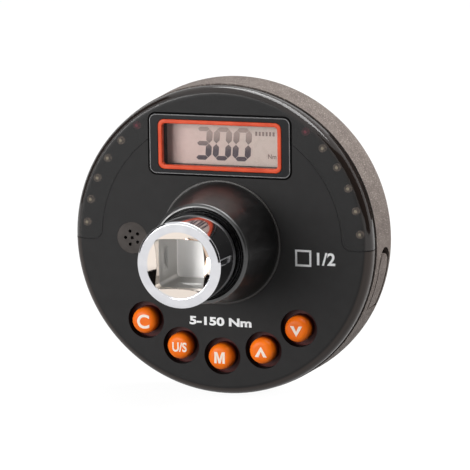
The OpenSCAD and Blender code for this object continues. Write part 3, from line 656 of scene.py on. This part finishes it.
class Shaper:
    """Makes one piece from turned, flat and lettered shapes, in millimetres."""

    ROUND_STEPS = 8
    BEVEL_STEPS = 3
    TURN_STEPS = 96
    SHARP_DEG = 38.0
    RIM_DEG = 45.0
    LETTER_T = 1.0
    LETTER_WEIGHT = 0.025

    def __init__(self, shop: Paintshop) -> None:
        """Starts with an empty mesh and the shop that its material comes from."""
        self.shop = shop
        self.whole = bmesh.new()

    def join(self, part: BMesh) -> None:
        """Adds a finished shape to the piece.

        Args:
            part: The shape, which is used up.
        """
        carrier = bpy.data.meshes.new("carrier")
        part.to_mesh(carrier)
        part.free()
        self.whole.from_mesh(carrier)
        bpy.data.meshes.remove(carrier)

    def turned(
        self, corners: Sequence[Corner], centre: Point = (0.0, 0.0), closed: bool = False,
        steps: int = TURN_STEPS,
    ) -> None:
        """Turns an outline about an axis along y.

        Args:
            corners: The outline from front to back.
            centre: Where the axis crosses the face, as x and z.
            closed: Whether the outline runs back to its first corner, as a ring's does.
            steps: Number of steps round the axis.
        """
        part = bmesh.new()
        verts = [part.verts.new((c.radius, c.depth, 0.0)) for c in corners]
        for pair in zip(verts, verts[1:] + verts[:1] if closed else verts[1:]):
            part.edges.new(pair)
        for vert, corner in zip(verts, corners):
            if corner.rounding:
                self.bevel(part, [vert], corner.rounding, "VERTICES", self.ROUND_STEPS)
        bmesh.ops.spin(
            part, geom=part.verts[:] + part.edges[:], cent=(0, 0, 0), axis=(0, 1, 0),
            angle=FULL_TURN, steps=steps, use_merge=True,
        )
        bmesh.ops.remove_doubles(part, verts=part.verts, dist=MERGE_MM)
        bmesh.ops.recalc_face_normals(part, faces=part.faces)
        bmesh.ops.translate(part, vec=(centre[0], 0.0, centre[1]), verts=part.verts)
        self.join(part)

    @staticmethod
    def bevel(part: BMesh, geom: Sequence[BMVert | BMEdge], size: float, affect: str, steps: int) -> None:
        """Rounds corners or edges.

        Args:
            part: Mesh that they are in.
            geom: The corners or edges.
            size: Rounding.
            affect: VERTICES or EDGES.
            steps: Number of steps round each.
        """
        bmesh.ops.bevel(
            part, geom=geom, offset=size, offset_type="OFFSET", affect=affect,
            segments=steps, profile=0.5, material=-1,
        )

    def prism(
        self, outline: Sequence[Point], front: float, back: float, corner: float = 0.0, edge: float = 0.0,
        hole: Sequence[Point] | None = None, hole_corner: float = 0.0,
    ) -> None:
        """Makes a slab from a flat outline.

        Args:
            outline: Corners as x and z, in order.
            front: Depth of the front.
            back: Depth of the back.
            corner: Rounding of the outline's corners.
            edge: Bevel of the front and back edges.
            hole: Corners of a hole through it, as many as the outline has.
            hole_corner: Rounding of the hole's corners.
        """
        part = bmesh.new()
        self.loop(part, outline, front, corner)
        if hole:
            self.loop(part, hole, front, hole_corner)
            bmesh.ops.bridge_loops(part, edges=part.edges[:])
        else:
            bmesh.ops.contextual_create(part, geom=part.edges[:])
        made = bmesh.ops.extrude_face_region(part, geom=part.faces[:], use_keep_orig=True)
        bmesh.ops.translate(part, vec=(0.0, back - front, 0.0), verts=picked(made["geom"], BMVert))
        bmesh.ops.recalc_face_normals(part, faces=part.faces)
        if edge:
            rims = [e for e in part.edges if self.is_rim(e, front) or self.is_rim(e, back)]
            self.bevel(part, rims, edge, "EDGES", self.BEVEL_STEPS)
        self.join(part)

    def ring(self, outer: Pane, inner: Pane, front: float, back: float, edge: float = 0.0) -> None:
        """Makes a slab between two rectangles, with bevelled edges where edge is given."""
        self.prism(outer.outline, front, back, outer.corner, edge, inner.outline, inner.corner)

    def loop(self, part: BMesh, outline: Sequence[Point], depth: float, corner: float) -> None:
        """Draws a closed flat outline with round corners.

        Args:
            part: Mesh that it is drawn in.
            outline: Corners as x and z, in order.
            depth: Depth of the outline.
            corner: Rounding of the corners.
        """
        verts = [part.verts.new((x, depth, z)) for x, z in outline]
        for pair in zip(verts, verts[1:] + verts[:1]):
            part.edges.new(pair)
        if corner:
            for vert in verts:
                self.bevel(part, [vert], corner, "VERTICES", self.ROUND_STEPS)

    @classmethod
    def is_rim(cls, edge: BMEdge, depth: float) -> bool:
        """Tells whether an edge lies at a depth, between a flat face and a side."""
        level = all(abs(v.co.y - depth) < MERGE_MM for v in edge.verts)
        return level and len(edge.link_faces) == 2 and edge.calc_face_angle() > math.radians(cls.RIM_DEG)

    def lettering(
        self, words: str, centre: Point, size: Point, front: float, back: float,
        weight: float = LETTER_WEIGHT,
    ) -> None:
        """Adds lettering that faces the front.

        Args:
            words: The letters.
            centre: Middle of the lettering as x and z.
            size: Width and height that it fills.
            front: Depth of its face.
            back: Depth of its back.
            weight: How far the strokes are thickened, as a share of the letter height.
        """
        curve = bpy.data.curves.new("letters", "FONT")
        curve.body = words
        curve.extrude = self.LETTER_T / 2
        curve.offset = weight
        holder = bpy.data.objects.new("letters", curve)
        bpy.context.scene.collection.objects.link(holder)
        graph = bpy.context.evaluated_depsgraph_get()
        mesh = bpy.data.meshes.new_from_object(holder.evaluated_get(graph))
        part = bmesh.new()
        part.from_mesh(mesh)
        bpy.data.objects.remove(holder)
        bpy.data.curves.remove(curve)
        bpy.data.meshes.remove(mesh)
        bmesh.ops.remove_doubles(part, verts=part.verts, dist=MERGE_MM)
        low = Vector(min(v.co[i] for v in part.verts) for i in range(3))
        high = Vector(max(v.co[i] for v in part.verts) for i in range(3))
        bmesh.ops.translate(part, vec=-(low + high) / 2, verts=part.verts)
        scale = (size[0] / (high.x - low.x), size[1] / (high.y - low.y), (back - front) / self.LETTER_T)
        bmesh.ops.scale(part, vec=scale, verts=part.verts)
        upright = Matrix.Rotation(math.pi / 2, 3, "X")
        bmesh.ops.rotate(part, cent=(0, 0, 0), matrix=upright, verts=part.verts)
        bmesh.ops.translate(part, vec=(centre[0], (front + back) / 2, centre[1]), verts=part.verts)
        bmesh.ops.recalc_face_normals(part, faces=part.faces)
        self.join(part)

    def lean(self, slope: float, level: float) -> None:
        """Leans the piece to the right with height, as slanted digits do.

        Args:
            slope: Shift to the right for each millimetre of height.
            level: Height that stays in place.
        """
        shear = Matrix.Identity(4)
        shear[0][2] = slope
        about = Matrix.Translation((0, 0, level))
        bmesh.ops.transform(self.whole, matrix=about @ shear @ about.inverted(), verts=self.whole.verts)

    def finish(
        self, name: str, slot: Slot, finish: Finish | None = None, body: str = GAUGE,
        nodes: Sequence[str] = (),
    ) -> None:
        """Turns the mesh into a piece that rides on a body.

        Args:
            name: Name of the piece.
            slot: Slot whose finish it takes where no finish of its own is given.
            finish: Its own finish, the slot's where none is given.
            body: Body that it rides on.
            nodes: Solids that it stands for.
        """
        bmesh.ops.scale(self.whole, vec=(MM, MM, MM), verts=self.whole.verts)
        mesh = bpy.data.meshes.new(name)
        self.whole.to_mesh(mesh)
        self.whole.free()
        mesh.shade_smooth()
        mesh.set_sharp_from_angle(angle=math.radians(self.SHARP_DEG))
        mesh.materials.append(self.shop.material(finish or FINISHES[slot]))
        piece = bpy.data.objects.new(name, mesh)
        bpy.context.scene.collection.objects.link(piece)
        normals = piece.modifiers.new("even_normals", "WEIGHTED_NORMAL")
        normals.keep_sharp = True
        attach(piece, body)
        if nodes:
            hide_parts(*nodes)
        log.info("piece %s rides on %s with %d faces", name, body, len(mesh.polygons))


def box_mm(node: str) -> tuple[Vector, Vector]:
    """Gives a solid's lowest and highest corner in millimetres."""
    low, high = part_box(node)
    return low / MM, high / MM


def front_view(low: Vector, high: Vector) -> tuple[Point, Point]:
    """Gives a box's width and height, and its middle as x and z."""
    return (high.x - low.x, high.z - low.z), ((low.x + high.x) / 2, (low.z + high.z) / 2)


@dataclass
class Keypad:
    """Five domed keys with pale legends."""

    shop: Paintshop
    cap_r: float = 3.45
    dome_r: float = 1.65
    foot_r: float = 0.15
    rim_r: float = 0.1
    flange_front: float = FACE_Y + 2.75
    flange_back: float = FACE_Y + 3.45
    stem_r: float = 1.6
    print_rise: float = 0.03
    print_sink: float = 0.15
    clear_size: Point = (3.4, 3.8)
    unit_size: Point = (4.0, 2.55)
    unit_shift: float = 0.3
    down_shift: float = -0.35
    arrow_half: Point = (1.65, 1.4)
    arrow_stroke: float = 1.0
    arrow_notch: float = 1.35

    # Outline of the letter M round its middle, as x and z
    LETTER_M = (
        (-1.45, -1.52), (-1.45, 1.52), (-0.62, 1.52), (0.0, -0.35), (0.62, 1.52), (1.45, 1.52),
        (1.45, -1.52), (0.8, -1.52), (0.8, 0.75), (0.3, -1.52), (-0.3, -1.52), (-0.8, 0.75), (-0.8, -1.52),
    )

    def build(self) -> None:
        """Makes all keys and legends."""
        for key in KeyName:
            centre, top = self.cap(key)
            self.legend(key, centre, top)

    def cap(self, key: KeyName) -> tuple[Point, float]:
        """Makes one key.

        Args:
            key: Which key it is.

        Returns:
            The middle of its top and the depth of its top.
        """
        low, high = box_mm(key.node)
        size, centre = front_view(low, high)
        flange_r = size[0] / 2
        shaper = Shaper(self.shop)
        shaper.turned(
            [
                Corner(0, low.y),
                Corner(self.cap_r, low.y, self.dome_r),
                Corner(self.cap_r, self.flange_front, self.foot_r),
                Corner(flange_r, self.flange_front, self.rim_r),
                Corner(flange_r, self.flange_back, self.rim_r),
                Corner(self.stem_r, self.flange_back),
                Corner(self.stem_r, high.y, self.rim_r),
                Corner(0, high.y),
            ],
            centre,
        )
        # The key's finish paints shade on its sides and flange down in the well.
        shaper.finish(f"cap_{key.value}", Slot.KEY, body=key.body, nodes=[key.node])
        return centre, low.y

    def legend(self, key: KeyName, centre: Point, top: float) -> None:
        """Makes the sign on one key.

        Args:
            key: Which key it is.
            centre: Middle of the key's top as x and z.
            top: Depth of the key's top.
        """
        x, z = centre
        depths = top - self.print_rise, top + self.print_sink
        shaper = Shaper(self.shop)
        match key:
            case KeyName.CLEAR:
                shaper.lettering("C", centre, self.clear_size, *depths)
            case KeyName.UNIT:
                shaper.lettering("U/S", (x + self.unit_shift, z), self.unit_size, *depths)
            case KeyName.MODE:
                shaper.prism([(x + right, z + up) for right, up in self.LETTER_M], *depths)
            case KeyName.UP:
                shaper.prism(self.arrow(centre, 1), *depths)
            case KeyName.DOWN:
                shaper.prism(self.arrow((x, z + self.down_shift), -1), *depths)
        shaper.finish(f"legend_{key.value}", Slot.KEY, LEGEND_CREAM, key.body)

    def arrow(self, centre: Point, way: int) -> list[Point]:
        """Gives the outline of an arrow head.

        Args:
            centre: Its middle as x and z.
            way: 1 if it points up, -1 if it points down.

        Returns:
            Six corners in order.
        """
        x, z = centre
        half_w, half_h = self.arrow_half
        inner = half_w - self.arrow_stroke
        tip, foot = z + way * half_h, z - way * half_h
        return [
            (x, tip), (x + half_w, foot), (x + inner, foot),
            (x, tip - way * self.arrow_notch), (x - inner, foot), (x - half_w, foot),
        ]


@dataclass
class Display:
    """Plate, coloured frame and digits of the display."""

    shop: Paintshop
    plate_corner: float = 1.8
    plate_edge: float = 0.08
    plate_lift: float = 0.1
    accent_corner: float = 1.7
    accent_edge: float = 0.22
    accent_line: float = 1.1
    accent_gap: float = 0.05
    window_corner: float = 0.9
    sheen_w: float = 0.2
    sheen_rise: float = 0.02
    sheen_deep: float = 0.3
    gap_shade_w: float = 0.45
    gap_shade_rise: float = 0.015
    digit_size: Point = (5.0, 8.8)
    digit_centres: tuple[float, ...] = (-6.15, -0.75, 4.7)
    digit_level: float = 25.25
    digit_lean: float = 0.075
    upright: float = 1.62
    level: float = 1.2
    slit: float = 0.07
    ink_rise: float = 0.05
    unit_place: Point = (12.9, 22.4)
    unit_size: Point = (2.3, 1.25)
    bar_place: Point = (8.6, 28.3)
    bar_size: Point = (0.55, 1.1)
    bar_step: float = 0.95
    bar_count: int = 6

    SEGMENTS = {"0": "abcdef", "3": "abcdg"}

    def build(self) -> None:
        """Makes the plate, the frame, the digits and the small marks."""
        low, high = box_mm("window_frame")
        size, (x, z) = front_view(low, high)
        plate = Pane(size, (x, z + self.plate_lift), self.plate_corner)
        accent_low, accent_high = box_mm("accent_frame")
        accent_size, _ = front_view(accent_low, accent_high)
        accent = Pane(accent_size, (x, z), self.accent_corner)
        window = replace(accent.grown(-self.accent_line), corner=self.window_corner)
        shaper = Shaper(self.shop)
        shaper.ring(plate, accent.grown(self.accent_gap), low.y, high.y, self.plate_edge)
        shaper.finish("display_plate", Slot.BEZEL, nodes=["window_frame"])
        self.rim(plate, low.y)
        shaper = Shaper(self.shop)
        shaper.ring(accent, window, accent_low.y, accent_high.y, self.accent_edge)
        shaper.finish("accent_line", Slot.ACCENT, nodes=["accent_frame"])
        self.digits("300")
        self.marks()

    def rim(self, plate: Pane, front: float) -> None:
        """Makes the painted highlight along the rim of the plate and the black ring round it: the gap,
        widened with painted shade.

        Args:
            plate: Outline of the plate.
            front: Depth of the plate's front.
        """
        edge = plate.grown(-self.plate_edge)
        shaper = Shaper(self.shop)
        shaper.ring(edge, edge.grown(-self.sheen_w), front - self.sheen_rise, front + self.sheen_deep)
        shaper.finish("plate_rim", Slot.BEZEL, EDGE_SHEEN)
        # The black ring is the gap between plate and cover, widened with painted shade.
        shaper = Shaper(self.shop)
        shaper.ring(plate.grown(self.gap_shade_w), plate, FACE_Y - self.gap_shade_rise, FACE_Y + self.gap_shade_w)
        shaper.finish("plate_gap_and_shade", Slot.BEZEL, GAP_AND_SHADE_BLACK)

    def ink_depths(self) -> Point:
        """Gives the front and back of what the panel shows."""
        low, _ = box_mm("display_panel")
        return low.y - self.ink_rise, low.y + self.ink_rise

    def marks(self) -> None:
        """Makes the small unit and the row of bars on the panel."""
        x, z = self.bar_place
        shaper = Shaper(self.shop)
        shaper.lettering("Nm", self.unit_place, self.unit_size, *self.ink_depths())
        for index in range(self.bar_count):
            bar = Pane(self.bar_size, (x + index * self.bar_step, z))
            shaper.prism(bar.outline, *self.ink_depths())
        shaper.finish("display_marks", Slot.PANEL, MARK_INK)

    def digits(self, reading: str) -> None:
        """Makes the reading's digits on the panel.

        Args:
            reading: The digits from left to right.
        """
        shaper = Shaper(self.shop)
        for sign, x in zip(reading, self.digit_centres):
            for segment in self.SEGMENTS[sign]:
                shaper.prism(self.segment(segment, x), *self.ink_depths())
        shaper.lean(self.digit_lean, self.digit_level)
        shaper.finish("display_digits", Slot.PANEL, DIGIT_INK_PAINTED_FADE)

    def segment(self, name: str, x: float) -> list[Point]:
        """Gives the outline of one segment.

        Args:
            name: Letter of the segment, from a at the top clockwise, g in the middle.
            x: Middle of the digit.

        Returns:
            Six corners in order.
        """
        half_w = (self.digit_size[0] - self.upright) / 2
        half_h = (self.digit_size[1] - self.level) / 2
        z = self.digit_level
        heights = {"a": half_h, "g": 0.0, "d": -half_h}
        if name in heights:
            t, w = self.level / 2, z + heights[name]
            a, b = x - half_w + self.slit, x + half_w - self.slit
            return [(a, w), (a + t, w - t), (b - t, w - t), (b, w), (b - t, w + t), (a + t, w + t)]
        t, u = self.upright / 2, x + (half_w if name in "bc" else -half_w)
        low, high = (0.0, half_h) if name in "bf" else (-half_h, 0.0)
        a, b = z + low + self.slit, z + high - self.slit
        return [(u, a), (u + t, a + t), (u + t, b - t), (u, b), (u - t, b - t), (u - t, a + t)]


@dataclass
class FaceMarks:
    """White marks printed on the face."""

    shop: Paintshop
    rise: float = 0.02
    sink: float = 0.1
    range_place: Point = (-0.4, -21.3)
    range_size: Point = (17.2, 2.3)
    range_weight: float = 0.04
    square_place: Point = (22.6, -3.2)
    square_size: Point = (4.4, 4.4)
    square_line: float = 0.55
    inch_place: Point = (28.8, -3.2)
    inch_size: Point = (5.0, 3.4)

    def build(self) -> None:
        """Prints the range and the drive size."""
        depths = FACE_Y - self.rise, FACE_Y + self.sink
        shaper = Shaper(self.shop)
        shaper.lettering("5-150 Nm", self.range_place, self.range_size, *depths, self.range_weight)
        shaper.finish("range_mark", Slot.COVER, PRINT_WHITE)
        square = Pane(self.square_size, self.square_place)
        hole = replace(square.grown(-self.square_line), corner=0.0)
        shaper = Shaper(self.shop)
        shaper.ring(square, hole, *depths)
        shaper.lettering("1/2", self.inch_place, self.inch_size, *depths)
        shaper.finish("drive_mark", Slot.COVER, PRINT_WHITE)


@dataclass
class LightArch:
    """The unlit lamps of the light arch with their painted glow, and the dark seam round its smoked lens."""

    shop: Paintshop
    arch_r: float = 33.2
    cover_r: float = 41.0
    edge_r: float = 2.4
    side_l: float = 1.1
    end_z: float = -0.7
    corner_r: float = 2.5
    line: float = 0.2
    rise: float = 0.015
    deep: float = 0.2
    lamp_ring_r: float = 37.85
    first_deg: float = 52.2
    step_deg: float = 9.37
    lamp_count: int = 6
    lamp_r: float = 0.42
    dome_r: float = 0.3
    dome_depth: float = 0.5
    cup_r: float = 1.05
    cup_depth: float = 0.65

    LAMP_STEPS = 24
    EDGE_STEPS = 8
    CORNER_STEPS = 10
    ARC_STEPS = 48

    def build(self) -> None:
        """Makes the lamps and the seam."""
        angles = [math.radians(self.first_deg - i * self.step_deg) for i in range(self.lamp_count)]
        self.lamps("red", Slot.RED_LAMP, RED_PAINTED_GLOW, angles[:1])
        self.lamps("pale", Slot.PALE_LAMP, PALE_PAINTED_GLOW, angles[1:])
        self.seam()

    def lamps(self, name: str, slot: Slot, haze: Finish, angles: Sequence[float]) -> None:
        """Makes the domed lamps of one colour and the cups round them, both with a painted glow.

        Args:
            name: Name of the colour.
            slot: Slot of the lamps' finish.
            haze: Finish of the cups, a painted glow in patches.
            angles: Places of the lamps on the right side, in radians from the x axis.
        """
        node = f"{name}_leds"
        _, high = box_mm(node)
        front, cup_front = FACE_Y + self.dome_depth, FACE_Y + self.cup_depth
        dome = [
            Corner(0, front),
            Corner(self.lamp_r, front, self.dome_r),
            Corner(self.lamp_r, high.y),
            Corner(0, high.y),
        ]
        cup = [
            Corner(self.lamp_r, high.y),
            Corner(self.lamp_r, cup_front),
            Corner(self.cup_r, cup_front, self.dome_r),
            Corner(self.cup_r, high.y),
        ]
        domes, cups = Shaper(self.shop), Shaper(self.shop)
        for angle in angles:
            for side in (-1, 1):
                place = (side * self.lamp_ring_r * math.cos(angle), self.lamp_ring_r * math.sin(angle))
                domes.turned(dome, place, steps=self.LAMP_STEPS)
                cups.turned(cup, place, closed=True, steps=self.LAMP_STEPS)
        domes.finish(f"{name}_domes", slot, nodes=[node])
        # The cups carry only painted glow round the lamps.
        cups.finish(f"{name}_cups", slot, haze)

    def seam(self) -> None:
        """Draws the seam on both sides, up to the display plate."""
        _, plate_high = box_mm("window_frame")
        up_z = self.end_z + self.corner_r
        mid_x = math.sqrt((self.arch_r + self.corner_r) ** 2 - up_z ** 2)
        touch = math.atan2(up_z, mid_x)
        stop = math.acos(plate_high.x / self.arch_r)
        depth = FACE_Y - self.rise
        part = bmesh.new()
        start = part.verts.new((self.cover_r - self.edge_r, depth, self.end_z))
        foot = part.verts.new((mid_x, depth, self.end_z))
        part.edges.new((start, foot))
        self.sweep(part, foot, (mid_x, depth, up_z), math.pi / 2 - touch, self.CORNER_STEPS)
        knee = min(part.verts, key=lambda v: v.co.x)
        self.sweep(part, knee, (0.0, depth, 0.0), touch - stop, self.ARC_STEPS)
        bmesh.ops.remove_doubles(part, verts=part.verts, dist=MERGE_MM)
        self.deepen(part, part.edges[:], self.deep)
        self.side_line(part)
        bmesh.ops.solidify(part, geom=part.faces[:], thickness=self.line)
        whole = part.verts[:] + part.edges[:] + part.faces[:]
        bmesh.ops.mirror(part, geom=whole, axis="X", merge_dist=0)
        bmesh.ops.recalc_face_normals(part, faces=part.faces)
        shaper = Shaper(self.shop)
        shaper.join(part)
        shaper.finish("arch_seam", Slot.LENS, SEAM_DARK)

    def side_line(self, part: BMesh) -> None:
        """Leads the seam round the edge of the case and back to the case seam.

        Args:
            part: Mesh that it is drawn in.
        """
        x = self.cover_r - self.edge_r
        front, back = (part.verts.new((x, FACE_Y + d, self.end_z)) for d in (-self.rise, self.deep))
        edge = part.edges.new((front, back))
        made = bmesh.ops.spin(
            part, geom=[front, back, edge], cent=(x, FACE_Y + self.edge_r, self.end_z), axis=(0, 0, 1),
            angle=math.pi / 2, steps=self.EDGE_STEPS,
        )
        self.deepen(part, picked(made["geom_last"], BMEdge), self.side_l)

    @staticmethod
    def sweep(part: BMesh, vert: BMVert, centre: Place, angle: float, steps: int) -> None:
        """Draws an arc from a point, in steps, by turning it about y round a centre."""
        bmesh.ops.spin(part, geom=[vert], cent=centre, axis=(0, 1, 0), angle=angle, steps=steps)

    @staticmethod
    def deepen(part: BMesh, edges: Sequence[BMEdge], depth: float) -> None:
        """Draws faces from edges into the case."""
        made = bmesh.ops.extrude_edge_only(part, edges=edges)
        bmesh.ops.translate(part, vec=(0.0, depth, 0.0), verts=picked(made["geom"], BMVert))


@dataclass
class Neck:
    """The bead at the foot of the black neck, with a painted highlight, and the ribbed seal in its mouth."""

    shop: Paintshop
    base_r: float = 16.1
    bead_w: float = 0.42
    bead_h: float = 0.4
    bead_edge: float = 0.18
    bead_sink: float = 0.15
    seal_r: float = 12.2
    spindle_r: float = 11.2
    rib_half: float = 0.18
    rib_round: float = 0.12
    rib_step: float = 0.05
    groove_deep: float = 0.5
    groove_shift: float = -0.02
    groove_round: float = 0.05
    inner_drop: float = 0.25
    outer_drop: float = 0.45
    lip_round: float = 0.1

    def build(self) -> None:
        """Makes the bead and the seal."""
        self.bead()
        self.seal()

    def bead(self) -> None:
        """Makes the bead where the neck meets the face, painted lighter than the neck as a painted highlight.
        """
        out_r, in_r = self.base_r + self.bead_w, self.base_r - self.bead_sink
        shaper = Shaper(self.shop)
        shaper.turned(
            [
                Corner(in_r, FACE_Y + self.bead_sink),
                Corner(in_r, FACE_Y - self.bead_h),
                Corner(out_r, FACE_Y - self.bead_h, self.bead_edge),
                Corner(out_r, FACE_Y + self.bead_sink),
            ],
            closed=True,
        )
        shaper.finish("neck_bead", Slot.NECK, FOOT_SHEEN)

    def seal(self) -> None:
        """Makes the seal with its two ribs."""
        low, high = box_mm("mouth_seal")
        front, middle = low.y, (self.seal_r + self.spindle_r) / 2
        shaper = Shaper(self.shop)
        shaper.turned(
            [
                Corner(self.spindle_r, high.y),
                Corner(self.spindle_r, front + self.inner_drop, self.lip_round),
                Corner(middle - self.rib_half, front, self.rib_round),
                Corner(middle + self.groove_shift, front + self.groove_deep, self.groove_round),
                Corner(middle + self.rib_half, front + self.rib_step, self.rib_round),
                Corner(self.seal_r, front + self.outer_drop, self.lip_round),
                Corner(self.seal_r, high.y),
            ],
            closed=True,
        )
        shaper.finish("ribbed_seal", Slot.SEAL, nodes=["mouth_seal"])


def flat_sheet(name: str, size: Point, place: Matrix, material: Material) -> bpy.types.Object:
    """Puts up a flat sheet.

    Args:
        name: Name of the sheet.
        size: Width and height in metres.
        place: Where it stands and how it is turned.
        material: Its material.

    Returns:
        The sheet.
    """
    part = bmesh.new()
    bmesh.ops.create_grid(part, x_segments=1, y_segments=1, size=0.5)
    bmesh.ops.scale(part, vec=(*size, 1.0), verts=part.verts)
    bmesh.ops.transform(part, matrix=place, verts=part.verts)
    mesh = bpy.data.meshes.new(name)
    part.to_mesh(mesh)
    part.free()
    mesh.materials.append(material)
    sheet = bpy.data.objects.new(name, mesh)
    bpy.context.scene.collection.objects.link(sheet)
    return sheet


@dataclass(frozen=True)
class Card:
    """A dark card that only mirrors see, in metres."""

    name: str
    place: Place
    size: Point
    tone: Rgb = (22, 20, 19)

    def build(self, aim: Vector) -> None:
        """Stands the card up.

        Args:
            aim: Point that it faces.
        """
        bench = NodeBench(self.name)
        bench.set(Base_Color=linear(self.tone), Roughness=MATT, Specular_IOR_Level=0.0)
        turn = (aim - Vector(self.place)).to_track_quat("Z", "Y").to_matrix().to_4x4()
        card = flat_sheet(self.name, self.size, Matrix.Translation(self.place) @ turn, bench.material)
        card.visible_camera = False
        card.visible_diffuse = False
        card.visible_shadow = False


@dataclass(frozen=True)
class Lamp:
    """A soft light that looks at the gauge, in metres."""

    name: str
    place: Place
    size: Point
    watts: float
    mirrored: bool = True

    def build(self, aim: Vector) -> None:
        """Hangs the light.

        Args:
            aim: Point that it looks at.
        """
        data = bpy.data.lights.new(self.name, "AREA")
        data.shape = "RECTANGLE"
        data.size, data.size_y = self.size
        data.energy = self.watts
        light = bpy.data.objects.new(self.name, data)
        light.location = self.place
        light.visible_glossy = self.mirrored
        light.rotation_euler = (aim - Vector(self.place)).to_track_quat("-Z", "Y").to_euler()
        bpy.context.scene.collection.objects.link(light)


@dataclass
class Studio:
    """White room, soft lights and the camera, in metres."""

    azimuth_deg: float = 19.012
    elevation_deg: float = 10.628
    roll_deg: float = -0.803
    distance: float = 0.8866
    focal_px: float = 3388.5
    image_px: float = 470.0
    face_px: Point = (220.747, 242.087)
    sensor_mm: float = 36.0
    floor_size: Point = (6.0, 6.0)
    floor_tone: Rgb = (80, 80, 80)
    floor_glow: float = 0.96
    room_light: float = 0.16
    lamps: tuple[Lamp, ...] = (
        Lamp("top_light", (0.15, 0.14, 0.8), (1.1, 0.4), 9.6),
        Lamp("front_light", (-0.33, -0.6, 0.1), (0.4, 0.4), 4.7),
        Lamp("side_light", (0.74, 0.33, 0.3), (0.4, 0.4), 8.6, mirrored=False),
    )
    cards: tuple[Card, ...] = (
        Card("back_card", (0.28, 0.6, 0.1), (0.3, 0.3)),
        Card("upper_card", (0.55, -0.62, 0.3), (0.5, 0.55)),
        Card("right_card", (0.75, -0.2, 0.15), (0.7, 0.9)),
        Card("left_card", (-0.72, -0.05, 0.32), (0.5, 0.75)),
    )

    # Middle of the gauge's face
    AIM = Vector((0.0, FACE_Y * MM, 0.0))
    WHITE = (1.0, 1.0, 1.0, 1.0)

    def build(self) -> None:
        """Sets up the room, the lights and the camera."""
        bpy.context.scene.view_settings.view_transform = "Standard"
        self.world()
        self.floor()
        for item in self.lamps + self.cards:
            item.build(self.AIM)
        self.camera()

    def camera(self) -> None:
        """Places the camera at the photograph's viewing angle."""
        a, e, roll = (math.radians(d) for d in (self.azimuth_deg, self.elevation_deg, self.roll_deg))
        back = Vector((math.sin(a) * math.cos(e), -math.cos(a) * math.cos(e), math.sin(e)))
        level = Vector((math.cos(a), math.sin(a), 0.0))
        upright = back.cross(level)
        right = math.cos(roll) * level + math.sin(roll) * upright
        up = math.cos(roll) * upright - math.sin(roll) * level
        middle = self.image_px / 2
        aside = right * (middle - self.face_px[0]) + up * (self.face_px[1] - middle)
        z_axis = (back - aside / self.focal_px).normalized()
        x_axis = up.cross(z_axis).normalized()
        y_axis = z_axis.cross(x_axis)
        data = bpy.data.cameras.new("camera")
        data.sensor_width = self.sensor_mm
        data.lens = self.focal_px * self.sensor_mm / self.image_px
        camera = bpy.data.objects.new("camera", data)
        turn = Matrix((x_axis, y_axis, z_axis)).transposed().to_4x4()
        camera.matrix_world = Matrix.Translation(self.AIM + self.distance * back) @ turn
        bpy.context.scene.collection.objects.link(camera)
        bpy.context.scene.camera = camera

    def world(self) -> None:
        """Makes the room white to the eye and softer as a light."""
        world = bpy.data.worlds.new("white_room")
        bpy.context.scene.world = world
        world.use_nodes = True
        tree = world.node_tree
        tree.nodes.clear()
        output = tree.nodes.new("ShaderNodeOutputWorld")
        ground = tree.nodes.new("ShaderNodeBackground")
        ground.inputs["Color"].default_value = self.WHITE
        tree.links.new(ground.outputs["Background"], output.inputs["Surface"])
        strength = tree.nodes.new("ShaderNodeMapRange")
        strength.inputs["To Min"].default_value = self.room_light
        tree.links.new(seen_rays(tree), strength.inputs["Value"])
        tree.links.new(strength.outputs["Result"], ground.inputs["Strength"])

    def floor(self) -> None:
        """Lays a floor under the gauge that is white to the eye, with room for a shadow."""
        bench = NodeBench("white_floor")
        bench.set(Base_Color=linear(self.floor_tone), Roughness=MATT, Specular_IOR_Level=0.0)
        glow = bench.spread(seen_rays(bench.tree), 0.0, self.floor_glow, 0.0, 1.0)
        bench.set(Emission_Color=self.WHITE, Emission_Strength=glow)
        place = Matrix.Translation((0.0, 0.0, cad_box[0].z))
        floor = flat_sheet("floor", self.floor_size, place, bench.material)


def seen_rays(tree: bpy.types.NodeTree) -> Socket:
    """Tells the rays that show a surface to the eye or to a mirror from those that only light.

    Args:
        tree: Node tree that asks.

    Returns:
        A value of 1 for camera, glossy and transmission rays, else 0.
    """
    path = tree.nodes.new("ShaderNodeLightPath")
    source = path.outputs["Is Camera Ray"]
    for name in ("Is Glossy Ray", "Is Transmission Ray"):
        both = tree.nodes.new("ShaderNodeMath")
        both.operation = "MAXIMUM"
        tree.links.new(source, both.inputs[0])
        tree.links.new(path.outputs[name], both.inputs[1])
        source = both.outputs[0]
    return source


def main() -> None:
    """Builds the studio and every piece of the gauge in order."""
    logging.basicConfig(level=logging.INFO, format="%(message)s")
    Studio().build()
    shop = Paintshop()
    shop.dress_solids(frame["nodes"])
    for assembly in (Keypad, Display, FaceMarks, LightArch, Neck):
        assembly(shop).build()


if __name__ == "__main__":
    main()
